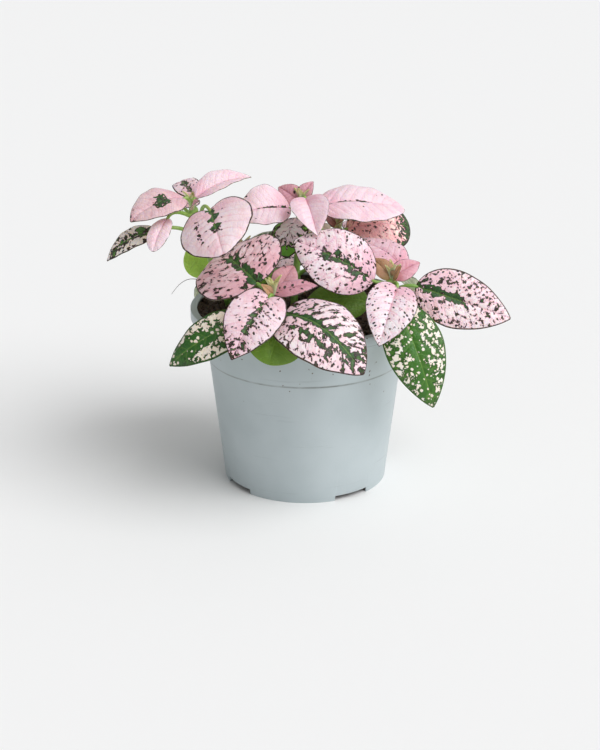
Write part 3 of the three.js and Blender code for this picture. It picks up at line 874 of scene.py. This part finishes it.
def pillows(leaf, t, v):
    """Height of the tissue over a smooth blade, in mm: low on the veins, high between."""
    a = abs(v)
    between = abs(np.sin(math.pi * vein_phase(t, v))) ** 0.8
    fade = (1 - a**4) * np.clip(t / 0.06, 0, 1) * (1 - t**6)
    quilt = PILLOW * leaf.width * (between - 0.6) * fade * np.clip(a / 0.12, 0, 1)
    across = v * half_width(leaf, t)
    rib = -MIDRIB_GROOVE * np.exp(-((across / 0.55) ** 2)) * (1 - 0.7 * t)
    return quilt + rib * min(1, leaf.width / 12)


def wander(leaf, t, v):
    """A slow unevenness of its own for each leaf, from -1 to 1."""
    spot = Vector((2.2 * t, 0.9 * v, 3.7 * leaf.seed))
    return noise.noise(spot)


def blade_points(leaf, t, v):
    """Places on the blade's middle surface, in mm, for arrays of t and v."""
    half = half_width(leaf, t) * (1 + 0.008 * np.sin(13 * t + 5 * leaf.seed + 2 * np.sign(v)))
    end_fade = np.minimum(1, 4 * t * (1 - t))
    wave = WAVE * leaf.width * np.sin(2 * math.pi * WAVES * t + np.sign(v)) * abs(v) ** 3
    lift = half * (math.sin(leaf.fold) * abs(v) - CROWN * v * v) + wave * end_fade
    lift = lift + pillows(leaf, t, v)
    lift = lift + 0.035 * leaf.width * end_fade * np.array(
        [wander(leaf, a, b) for a, b in zip(t, v)]
    )
    back = leaf.lobe * LOBE_SCALE * np.sqrt(t) * (1 - t) ** LOBE_END * v * v
    rise = 4 * leaf.arch * t * (1 - t) + lift
    return (
        leaf.start
        + np.outer(leaf.length * t - back, leaf.along)
        + np.outer(half * math.cos(leaf.fold) * v + 4 * leaf.bend * t * (1 - t), leaf.side)
        + np.outer(rise, leaf.up)
    )


# %% [markdown]
# The bent grid becomes a blade with Solidify, thinned towards its margin through a vertex
# group.  Two attributes stay on the mesh for its colouring.  `plan` holds t, v and whether a
# vertex is on the underside.  `lie` holds millimetres: how far along, how far across and how
# far in from the margin, so that freckles are the same size on a small leaf as on a large
# one.

# %% Blade from a grid
LEAF_CELL = 0.33  # mm, roughly
BLADE = 0.38  # mm, thickness at the midrib
THIN_EDGE = 0.45  # share of it that is left at the margin
THINNING = 1.5  # mm in from the margin, over which it thins
SEED_STEP = 40  # mm of noise from one leaf to the next
RIB = 0.35  # mm
RIB_WIDTH = 0.45


def grid_of(name, cells_long, cells_wide):
    """A flat grid, and each vertex's t from 0 to 1 and v from -1 to 1."""
    start_piece()
    bpy.ops.mesh.primitive_grid_add(x_subdivisions=cells_long, y_subdivisions=cells_wide, size=2)
    piece = bpy.context.object
    piece.name = name
    rows = points_of(piece)
    t = (1 - np.cos(math.pi * (rows[:, 0] + 1) / 2)) / 2
    return piece, np.clip(t, 0, 1), -np.clip(rows[:, 1], -1, 1)


def make_blade(leaf, cell=LEAF_CELL):
    long = int(np.clip(leaf.length / cell, 14, 80))
    wide = 2 * int(np.clip(leaf.width / cell / 2, 4, 24))
    blade, t, v = grid_of(leaf.name, long, wide)
    set_points(blade, blade_points(leaf, t, v) * MM)

    half = half_width(leaf, t)
    inward = np.minimum((1 - abs(v)) * half, (1 - t) * leaf.length)
    write_attribute(blade, "plan", np.stack([t, v, 0 * t], 1))
    own_start = SEED_STEP * leaf.seed
    write_attribute(blade, "lie", np.stack([own_start + t * leaf.length, v * half, inward], 1))

    thick = blade.vertex_groups.new(name="thick")
    for i, share in enumerate(np.clip(inward / THINNING, 0, 1)):
        thick.add([i], float(share), "REPLACE")
    solid = blade.modifiers.new("solid", "SOLIDIFY")
    solid.thickness = BLADE * MM
    solid.offset = 0
    solid.vertex_group = "thick"
    solid.thickness_vertex_group = THIN_EDGE
    apply_modifiers(blade)
    blade.vertex_groups.clear()

    plan, lie = read_attribute(blade, "plan"), read_attribute(blade, "lie")
    plan[len(t) :, 2] = 1
    blade.data.attributes["plan"].data.foreach_set("vector", plan.ravel())

    # On the underside the midrib stands out as a round rib, which grows from the stalk.
    rib = RIB * np.exp(-((lie[:, 1] / RIB_WIDTH) ** 2)) * (1 - plan[:, 0]) ** 0.7 * plan[:, 2]
    set_points(blade, points_of(blade) - np.outer(rib, leaf.up) * MM)
    smooth(blade, 70)
    return blade


# %% [markdown]
# ## Freckled leaves
#
# A polka dot leaf is pink where its cells have lost their green.  What is left of the green
# lies in a patch along the midrib, in bars beside the side veins, in small round dots, and in
# a fine line round the margin.  Where a mark is small, pink shows through it and it looks
# nearly black-brown.  Where it is wide, its middle is a clear green.
#
# One group draws all of that.  A field of soft noise, laid out along the side veins, is
# raised near the midrib, the veins, the tip and the margin by the amounts that each look asks
# for, and wherever it passes zero the leaf is green.  The dots are the cells of a Voronoi
# texture, each with a radius of its own: dark ones on a pink leaf, pale ones on a green leaf.

# %% Values of a look
PALE, CHALK, ROSE = "f6dde5", "f9eeef", "efbecd"
DARK_GREEN, INK = "2b5427", "33241f"

LOOK_DEFAULTS = dict(
    pale=PALE, deep=ROSE, green=DARK_GREEN, ink=INK, blush=0.3, cover=-0.4, fleck=1.0, dash=1.25,
    patch=0.0, dots=0.0, pale_dots=0.0, dot_pitch=0.85, midrib=0.0, midrib_width=1.2,
    midrib_start=0.0, midrib_end=0.6, veins=0.0, streak=0.0, streak_at=0.0, tip=0.0, rim=0.0,
    line=0.2,
)
LOOK_GLOSS = 0.42  # roughness of the marks; between them a leaf is a little rougher

# %% Markings group
sockets = [("Plan", VECTOR, None), ("Lie", VECTOR, None)]
for name, value in LOOK_DEFAULTS.items():
    kind = COLOUR if isinstance(value, str) else NUMBER
    sockets.append((name.replace("_", " ").title(), kind, None))

markings, bench, given, made = new_group(
    "leaf_markings",
    sockets,
    [("Color", COLOUR, None), ("Marked", NUMBER, None), ("Relief", NUMBER, None)],
)
t, v, underside = bench.split(given["Plan"])
along, across, inward = bench.split(given["Lie"])
off_midrib = bench.size(across)
a = bench.size(v)

# Two measures in mm: one along the side veins, which slant across the blade, and one from
# each vein to the next.
VEIN_RUN, VEIN_RISE = 0.62, 0.78  # a vein's direction, along the leaf and across it
between = bench.times(along, VEIN_RISE)
between = bench.times_plus(off_midrib, -VEIN_RUN, between)
down_vein = bench.times(off_midrib, VEIN_RISE)
down_vein = bench.times_plus(along, VEIN_RUN, down_vein)
half = bench.times(bench.sum("SIGN", across), 20.0)


def laid_out(size):
    """Coordinates for a pattern whose features are about this size, drawn out by Dash."""
    long = bench.times(size, given["Dash"])
    beside = bench.sum("DIVIDE", between, size)
    return bench.vector(beside, bench.sum("DIVIDE", down_vein, long), half)


flecks = bench.noise(laid_out(given["Fleck"]), 0.8, 3.0, 0.62, 0.4)
slow = bench.noise(bench.vector(along, across, 7.0), 0.11, 1.5)
medium = bench.noise(bench.vector(along, across, 3.0), 0.42, 2.0)

# Side veins, as thin lines: 1 on a vein and 0 between.
reach = bench.times(bench.sum("POWER", a, 1.3), -VEIN_LEAN)
reach = bench.times(reach, bench.times_plus(t, -0.6, 1.0))
phase = bench.times(bench.plus(t, reach), SIDE_VEINS / 0.85)
off_vein = bench.sum("PINGPONG", phase, 0.5)
vein = bench.step(off_vein, 0.13, 0.0)
vein = bench.times(vein, bench.step(a, 1.0, 0.6))
beside_vein = bench.times(bench.step(off_vein, 0.3, 0.05), bench.step(a, 0.75, 0.35))
midrib_line = bench.step(off_midrib, 0.32, 0.1)
midrib_line = bench.times(midrib_line, bench.step(t, 1.0, 0.8))

# The field: flecks, and what raises them.
near = bench.sum("DIVIDE", off_midrib, given["Midrib Width"])
near = bench.times_plus(bench.minus(medium, 0.5), 4.0, near)
band = bench.step(near, 1.25, 0.55)
begun = bench.step(t, bench.minus(given["Midrib Start"], 0.04), given["Midrib Start"])
ended = bench.step(t, bench.plus(given["Midrib End"], 0.12), given["Midrib End"])
band = bench.times(bench.times(band, begun), ended)

aside = bench.size(bench.minus(across, given["Streak At"]))
aside = bench.times_plus(bench.minus(medium, 0.5), 2.0, aside)
off_middle = bench.size(bench.minus(t, 0.45))
streak = bench.times(bench.step(aside, 1.0, 0.3), bench.step(off_middle, 0.3, 0.2))

field = bench.plus(bench.minus(flecks, 0.5), given["Cover"])
field = bench.times_plus(bench.minus(slow, 0.5), given["Patch"], field)
raised_by = {
    "Midrib": band,
    "Veins": beside_vein,
    "Streak": streak,
    "Tip": bench.step(t, 0.6, 1.0),
    "Rim": bench.step(inward, 3.0, 0.0),
}
for name, where in raised_by.items():
    field = bench.times_plus(where, given[name], field)
margin_place = bench.times_plus(flecks, 0.5, inward)
line_end = bench.plus(given["Line"], 0.18)
margin = bench.step(margin_place, bench.plus(line_end, 0.14), line_end)

# Dots: every Voronoi cell draws its own lots, one for whether it has a dot and one for how
# wide the dot is.  They grow commoner towards the margin.
dot_place = laid_out(given["Dot Pitch"])
wobble = bench.add("ShaderNodeTexNoise")
bench.plug_named(wobble.inputs, Vector=dot_place, Scale=2.2)
shaken = bench.add("ShaderNodeVectorMath", operation="MULTIPLY_ADD")
bench.plug_row(shaken.inputs, wobble.outputs["Color"], (0.5, 0.5, 0), dot_place)
cells = bench.add("ShaderNodeTexVoronoi", feature="F1")
bench.plug_named(cells.inputs, Vector=shaken.outputs[0], Scale=1.0, Randomness=0.9)
lot, wide, _ = bench.split(cells.outputs["Color"])
dot_radius = bench.times_plus(wide, 0.25, 0.17)
dot = bench.step(bench.minus(cells.outputs["Distance"], dot_radius), 0.05, -0.03)
common = bench.step(inward, 4.0, 0.5, 0.75, 1.15)
dark_dot = bench.sum("LESS_THAN", lot, bench.times(given["Dots"], common))
dark_dot = bench.times(dark_dot, dot)
pale_dot = bench.sum("LESS_THAN", lot, bench.times(given["Pale Dots"], common))
pale_dot = bench.times(pale_dot, dot)

marked = bench.sum("MAXIMUM", bench.step(field, -0.012, 0.018), dark_dot)
marked = bench.times(marked, bench.minus(1.0, pale_dot))
marked = bench.sum("MAXIMUM", marked, margin)
core = bench.step(field, 0.06, 0.15)
core = bench.times(core, bench.step(inward, 0.35, 0.6))

# Pink: mottled, deeper on the veins, round the marks and towards the stalk.
shade = bench.times_plus(slow, 0.9, -0.2)
shade = bench.times_plus(vein, 0.4, shade)
shade = bench.times_plus(midrib_line, 0.3, shade)
shade = bench.plus(shade, bench.step(medium, 0.45, 0.7, 0, 0.4))
shade = bench.plus(shade, bench.step(field, -0.14, -0.01, 0, 0.5))
blush_end = bench.times(given["Blush"], 0.5)
shade = bench.plus(shade, bench.step(t, given["Blush"], blush_end, 0, 0.55))
pink = bench.mix(bench.sum("ADD", shade, 0.0, clamp=True), given["Pale"], given["Deep"])

# Green: lighter along the veins.
fresh = bench.mix(0.35, given["Green"], rgb("9fc25a"))
lit = bench.times(midrib_line, 0.7)
lit = bench.sum("MAXIMUM", bench.times(vein, 0.3), lit)
lit = bench.times_plus(bench.step(medium, 0.4, 0.7), 0.25, lit)
leaf_green = bench.mix(lit, given["Green"], fresh)
mark = bench.mix(core, given["Ink"], leaf_green)
face = bench.mix(marked, pink, mark)

# The underside is duller, with the markings only showing through and the veins standing out.
pale_back = bench.mix(0.45, given["Pale"], rgb("c8d8a4"))
pale_back = bench.mix(bench.step(medium, 0.35, 0.7, 0, 0.4), pale_back, given["Deep"])
back = bench.mix(bench.times(marked, 0.5), pale_back, rgb("789a58"))
ribs = bench.sum("MAXIMUM", bench.times(vein, 0.35), midrib_line)
back = bench.mix(bench.times(ribs, 0.7), back, rgb("e3eabf"))
bench.plug(made["Color"], bench.mix(bench.step(underside, 0.3, 0.7), face, back))
bench.plug(made["Marked"], marked)

# Relief: cells as fine grain, with the veins' net sunk in it.
grain = bench.noise(bench.vector(along, across, underside), 5.0, 2.0)
net = bench.add("ShaderNodeTexVoronoi", feature="DISTANCE_TO_EDGE")
bench.plug_named(net.inputs, Vector=bench.vector(along, across, 0.0), Scale=1.0)
relief = bench.times_plus(grain, 0.5, bench.step(net.outputs["Distance"], 0.0, 0.16))
relief = bench.times_plus(vein, -0.5, relief)
bench.plug(made["Relief"], bench.times_plus(midrib_line, -1.5, relief))
print("group:", markings.name, "nodes:", len(markings.nodes))

# %% [markdown]
# Each look is one set of values for that group.  Young tissue is salmon, old tissue pales
# to a chalky pink, and the leaves that get least light stay green.

# %% Looks
LOOKS = {
    "plain_blush": dict(line=0.06),
    "blotched_blush": dict(pale="e8cbd0", deep="d6a8b2", midrib=0.55, midrib_width=2.6,
                           midrib_start=0.3, midrib_end=0.52, tip=0.38, line=0.16),
    "streaked_blush": dict(pale="fbe6eb", deep="efc2cd", midrib=0.55, midrib_width=1.1,
                           midrib_start=0.03, midrib_end=0.52, cover=-0.27, fleck=1.0, veins=0.14,
                           streak=0.27, streak_at=4.6, line=0.34),
    "lined_blush": dict(midrib=0.3, midrib_width=0.5, midrib_end=0.55, cover=-0.23, dots=0.04,
                        line=0.12),
    "freckled_blush": dict(pale="f0cdd8", deep="e0a3b5", cover=-0.19, fleck=0.7, dots=0.5, line=0.2),
    "dotted": dict(pale="f8e2e8", deep="efc3cf", green="40603c", cover=-0.125, fleck=0.8, dash=1.6,
                   dots=0.35, dot_pitch=0.75, midrib=0.2, midrib_width=1.0, midrib_start=0.15,
                   midrib_end=0.6, veins=0.07, tip=0.17, line=0.27),
    "patched": dict(pale=CHALK, cover=-0.1, fleck=0.85, dots=0.5, dash=1.4, midrib=0.2,
                    midrib_width=1.6, midrib_start=0.1, midrib_end=0.6, line=0.22),
    "chalk_dotted": dict(pale="f8eef1", cover=-0.15, fleck=0.65, dots=0.6, dot_pitch=0.7, dash=1.5,
                         line=0.15),
    "dashed": dict(pale="f8dde4", deep="e6b2bd", cover=-0.075, fleck=1.0, dash=2.0, dots=0.3,
                   midrib=0.25, midrib_width=1.7, midrib_end=0.62, line=0.34),
    "mottled": dict(pale=CHALK, deep="efc9d3", cover=-0.05, fleck=1.0, dots=0.35, midrib=0.27,
                    midrib_width=1.0, midrib_end=0.8, veins=0.1, tip=0.08, line=0.32),
    "barred": dict(pale=CHALK, deep="efc9d3", cover=-0.06, fleck=0.95, dash=1.6, dots=0.35,
                   midrib=0.26, midrib_width=0.9, midrib_end=0.78, veins=0.1, streak=0.16,
                   streak_at=4.0, tip=0.08, line=0.32),
    "half_mottled": dict(pale="fdf4f5", deep="f4cbd6", blush=0.42, cover=-0.06, fleck=0.9, dots=0.4,
                         midrib=0.28, midrib_width=1.1, midrib_end=0.42, patch=0.15, line=0.34),
    "shaded_mottled": dict(pale="fffafb", deep="fbd9e4", green="6fb53c", cover=-0.085, fleck=0.95,
                           dots=0.25, dash=1.8, tip=0.42, rim=0.2, line=0.3),
    "salmon_based": dict(pale="fbf3e6", deep="f4b0b6", blush=0.85, cover=-0.1, fleck=0.8,
                         tip=0.2, rim=0.08, dots=0.2, line=0.35),
    "patchy": dict(pale="fff9f3", deep="f8e4dc", green="4a7a32", cover=-0.05, fleck=1.5, midrib=0.16,
                   midrib_width=1.7, midrib_end=0.8, line=0.22),
    "specked": dict(pale="fbf5ea", deep="f5e6da", green="39701d", ink="2d5918", cover=0.04,
                    fleck=1.1, dash=0.95, pale_dots=0.85, dot_pitch=1.05, patch=0.12, midrib=0.5,
                    midrib_width=2.0, midrib_end=0.85, line=0.38, gloss=0.36),
    "splashed": dict(pale="fbf3e6", deep="f3e0d2", green="2f621f", ink="274c18", cover=0.0,
                     fleck=1.25, dash=1.1, pale_dots=0.6, dot_pitch=1.2, midrib=0.5,
                     midrib_width=1.7, midrib_end=0.8, tip=0.22, line=0.45, gloss=0.36),
    "green": dict(pale="8fb04a", deep="668a28", green="668a28", ink="668a28", cover=0.6),
    "bright_green": dict(pale="c3dd74", deep="abd257", green="abd257", ink="abd257", cover=0.6),
    "young_rose": dict(pale="e3b0bd", deep="c98292", dots=0.05, line=0.1),
    "young_salmon": dict(pale="c9979e", deep="b1767d", dots=0.2, line=0.14),
    "young_dotted": dict(pale="d09aa6", deep="ba7f8c", cover=-0.15, fleck=0.7, dots=0.45, line=0.18),
    "young_tan": dict(pale="c4957c", deep="b08f60", line=0.05),
    "bud": dict(pale="dccfa0", deep="aab35f", line=0.0),
}


def leaf_material(name, gloss=LOOK_GLOSS, **changes):
    """A leaf's finish: the markings with this look's values, satin and slightly clear."""
    material, bench, shader = new_material(name)
    plan = bench.add("ShaderNodeAttribute", attribute_name="plan").outputs["Vector"]
    lie = bench.add("ShaderNodeAttribute", attribute_name="lie").outputs["Vector"]
    look = {**LOOK_DEFAULTS, **changes}
    values = {
        key.title(): rgb(value) if isinstance(value, str) else value for key, value in look.items()
    }
    drawn = place_group(bench, markings, Plan=plan, Lie=lie, **values)
    bench.plug_named(
        shader.inputs,
        Base_Color=drawn["Color"],
        Roughness=bench.step(drawn["Marked"], 0, 1, gloss + 0.08, gloss),
        Specular_IOR_Level=0.4,
        Subsurface_Weight=0.4,
        Subsurface_Radius=(1.0, 0.8, 0.5),
        Subsurface_Scale=0.9 * MM,
        Normal=bench.bump(drawn["Relief"], 0.08 * MM, 0.7),
    )
    return material


leaf_finish = {name: leaf_material(f"leaf_{name}", **changes) for name, changes in LOOKS.items()}
print("looks:", len(leaf_finish))

# %% Grow the leaves
slot_of = {part["node"]: part["material_slot"] for part in frame["record"]["subparts"]}
faces = 0
for leaf in leaves:
    blade = make_blade(leaf)
    finish_piece(blade, leaf_finish[leaf.look], slot_of[leaf.node], leaf.node)
    faces += len(blade.data.polygons)
print("leaves:", len(leaves), "faces:", faces)

# %% [markdown]
# ## Shoots
#
# A stem is swollen at each pair of leaves, and every leaf stalk runs out of such a knot in
# one soft curve.  The stem and its stalks are drawn as curves with a round section, and the
# knots as small balls.  All of them are then fused by a voxel remesh and smoothed a little,
# which rounds the corners between them as growth does.  Joining the tubes alone would leave
# hard creases.

# %% Stem paths
HOLE_DEPTH = 8
STEM_RADIUS = 1.1
STALK_RADIUS = 0.6
STALK_CURVE = 0.4
STEM_PATH_STEPS = 16
STALK_STEPS = 14
KNOT_RADIUS = 1.3


def stem_path(shoot):
    """Points along a stem, in mm: a centripetal spline through the points of its plan."""
    foot = np.array(STEMS[shoot][0], float)
    root = foot - [0, 0, HOLE_DEPTH - 0.5]
    knots = np.array([root, *STEMS[shoot]], float)
    knots = np.vstack([2 * knots[0] - knots[1], knots, 2 * knots[-1] - knots[-2]])
    path = []
    for p0, p1, p2, p3 in zip(knots, knots[1:], knots[2:], knots[3:]):
        gaps = [math.sqrt(np.linalg.norm(b - a)) for a, b in ((p0, p1), (p1, p2), (p2, p3))]
        t1, t2, t3 = np.cumsum(gaps)
        for t in np.linspace(t1, t2, STEM_PATH_STEPS, endpoint=False):
            a1 = (p0 * (t1 - t) + p1 * t) / t1
            a2 = (p1 * (t2 - t) + p2 * (t - t1)) / (t2 - t1)
            a3 = (p2 * (t3 - t) + p3 * (t - t2)) / (t3 - t2)
            b1 = (a1 * (t2 - t) + a2 * t) / t2
            b2 = (a2 * (t3 - t) + a3 * (t - t1)) / (t3 - t1)
            path.append((b1 * (t2 - t) + b2 * (t - t1)) / (t2 - t1))
    return np.array([*path, knots[-2]])


def at_height(path, height):
    return path[np.argmin(abs(path[:, 2] - height))]


def arc_through(start, bend, end, steps):
    """Points on a curve from start to end that is drawn towards bend."""
    share = np.linspace(0, 1, steps)[:, None]
    return (1 - share) ** 2 * start + 2 * share * (1 - share) * bend + share**2 * end


def stalk_path(leaf, path):
    """A stalk's points, from inside the stem to just inside the base of its blade."""
    start = at_height(path, leaf.at)
    ahead = blade_points(leaf, np.array([0.02]), np.zeros(1))[0] - leaf.start
    ahead = ahead / np.linalg.norm(ahead)
    end = leaf.start + 0.5 * ahead - 0.12 * leaf.up
    bend = leaf.start - STALK_CURVE * np.linalg.norm(leaf.start - start) * ahead
    return arc_through(start, bend, end, STALK_STEPS)


# %% Draw the shoots
def draw_tube(path, radius, taper):
    """A round tube along a path in mm, its radius scaled from taper[0] to taper[1]."""
    start_piece()
    curve = bpy.data.curves.new("tube", "CURVE")
    curve.dimensions = "3D"
    curve.bevel_depth = radius * MM
    curve.bevel_resolution = 4
    curve.use_fill_caps = True
    spline = curve.splines.new("POLY")
    spline.points.add(len(path) - 1)
    for i, (point, spot) in enumerate(zip(spline.points, path)):
        point.co = (*(spot * MM), 1)
        point.radius = taper[0] + (taper[1] - taper[0]) * i / (len(path) - 1)
    tube = bpy.data.objects.new("tube", curve)
    bpy.context.collection.objects.link(tube)
    make_active(tube)
    bpy.ops.object.convert(target="MESH")
    return bpy.context.object


SHOOT_VOXEL = 0.2  # mm

shoots = []
for shoot in STEMS:
    path = stem_path(shoot)
    parts = [draw_tube(path, STEM_RADIUS, (1.0, 0.75))]
    for leaf in (leaf for leaf in leaves if leaf.shoot == shoot):
        parts.append(draw_tube(stalk_path(leaf, path), STALK_RADIUS, (1.0, 0.72)))
        bpy.ops.mesh.primitive_uv_sphere_add(
            segments=16, ring_count=10, radius=KNOT_RADIUS * MM, location=at_height(path, leaf.at) * MM
        )
        parts.append(bpy.context.object)
    stem = join_pieces(parts, f"shoot_{shoot}")
    fuse = stem.modifiers.new("fuse", "REMESH")
    fuse.mode = "VOXEL"
    fuse.voxel_size = SHOOT_VOXEL * MM
    relax = stem.modifiers.new("relax", "SMOOTH")
    relax.iterations = 3
    apply_modifiers(stem)
    smooth(stem)
    shoots.append(stem)
print("shoot faces:", [len(stem.data.polygons) for stem in shoots])

# %% Dry fibre
# One long dry fibre springs from the soil beside the left shoot and ends in the air, past the
# lip.
FIBRE_POINTS = np.array([(-22, 2, 44.5), (-27, -1, 61), (-34.5, -5, 51.5)], float)
FIBRE_THICKNESS = 0.14  # mm, as a radius at its foot
FIBRE_CURL = 0.25  # mm

path = arc_through(*FIBRE_POINTS, 24)
path[:, 2] += FIBRE_CURL * np.sin(9 * np.linspace(0, 1, len(path)))
fibre = draw_tube(path, FIBRE_THICKNESS, (1.0, 0.35))
fibre.name = "dry_fibre"
smooth(fibre)
finish_piece(fibre, peat, "peat")

# %% [markdown]
# Stem tissue is waxy and pale green.  It reddens a little where it sees most light, and is
# browner just above the soil.

# %% Stem tissue
stem_tissue, bench, shader = new_material("stem_tissue")
place = bench.add("ShaderNodeTexCoord").outputs["Object"]
height = bench.split(place)[2]
streak = bench.noise(place, 500, 2.0)
colour = bench.mix(bench.step(height, 46 * MM, 66 * MM), rgb("5f8f35"), rgb("8fb458"))
colour = bench.mix(bench.step(streak, 0.45, 0.7, 0, 0.5), colour, rgb("a9c274"))
blush = bench.step(bench.noise(place, 160, 2.0), 0.5, 0.68, 0, 0.3)
colour = bench.mix(blush, colour, rgb("a0705a"))
colour = bench.mix(bench.step(height, 48 * MM, 43 * MM, 0, 0.7), colour, rgb("6e5638"))
bench.plug_named(
    shader.inputs,
    Base_Color=colour,
    Roughness=bench.step(streak, 0.3, 0.7, 0.35, 0.5),
    Subsurface_Weight=0.2,
    Subsurface_Radius=(1.0, 1.0, 0.4),
    Subsurface_Scale=0.8 * MM,
    Normal=bench.bump(streak, 0.05 * MM, 0.5),
)

for shoot, stem in zip(STEMS, shoots):
    finish_piece(stem, stem_tissue, "stem_green", f"stem_{shoot}")


# %% [markdown]
# ## Growing tips
#
# Each shoot ends in the leaves that are still opening.  They are small blades, made as the
# large ones are, round a bud of four leaflets that are folded nearly shut.

# %% Young leaves and buds
BUD_LEAFLETS = 4
BUD_LENGTH = 4.4  # mm
BUD_SHORTER = 0.7  # mm, of every second leaflet
BUD_WIDTH = 2.1
BUD_FOLD = 40
BUD_ARCH = 0.4
BUD_FOOT = 0.3  # mm from the stem's axis
BUD_SPREAD = 0.5  # sideways lean of a leaflet, as a share of its rise
BUD_SEED = 70
TIP_CELL = 0.25  # mm


def bud_leaflets(shoot, seed):
    """Rows of the plan for the folded leaflets at the end of a stem."""
    tip = stem_path(shoot)[-1]
    rows = []
    for i in range(BUD_LEAFLETS):
        turn = math.pi / 2 * i + 0.6 * seed
        out = np.array([math.cos(turn), math.sin(turn), 0])
        length = BUD_LENGTH - BUD_SHORTER * (i % 2)
        start = tip + BUD_FOOT * out
        end = start + length * np.array([0, 0, 1]) + length * BUD_SPREAD * out
        bends = (BUD_WIDTH, BUD_FOLD, BUD_ARCH, 0, 0, 0)
        rows.append((shoot, None, start, end, -out + [0, 0, 0.4], *bends, "bud"))
    return rows


tips = []
for number, shoot in enumerate(STEMS):
    parts = [leaf for leaf in young if leaf.shoot == shoot]
    parts += [Leaf("leaflet", BUD_SEED + number, row) for row in bud_leaflets(shoot, number)]
    pieces = []
    for leaf in parts:
        piece = make_blade(leaf, TIP_CELL)
        piece.data.materials.append(leaf_finish[leaf.look])
        pieces.append(piece)
    tip = join_pieces(pieces, f"tip_{shoot}")
    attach(tip, "root")
    tips.append(tip)
print("tip faces:", [len(tip.data.polygons) for tip in tips])
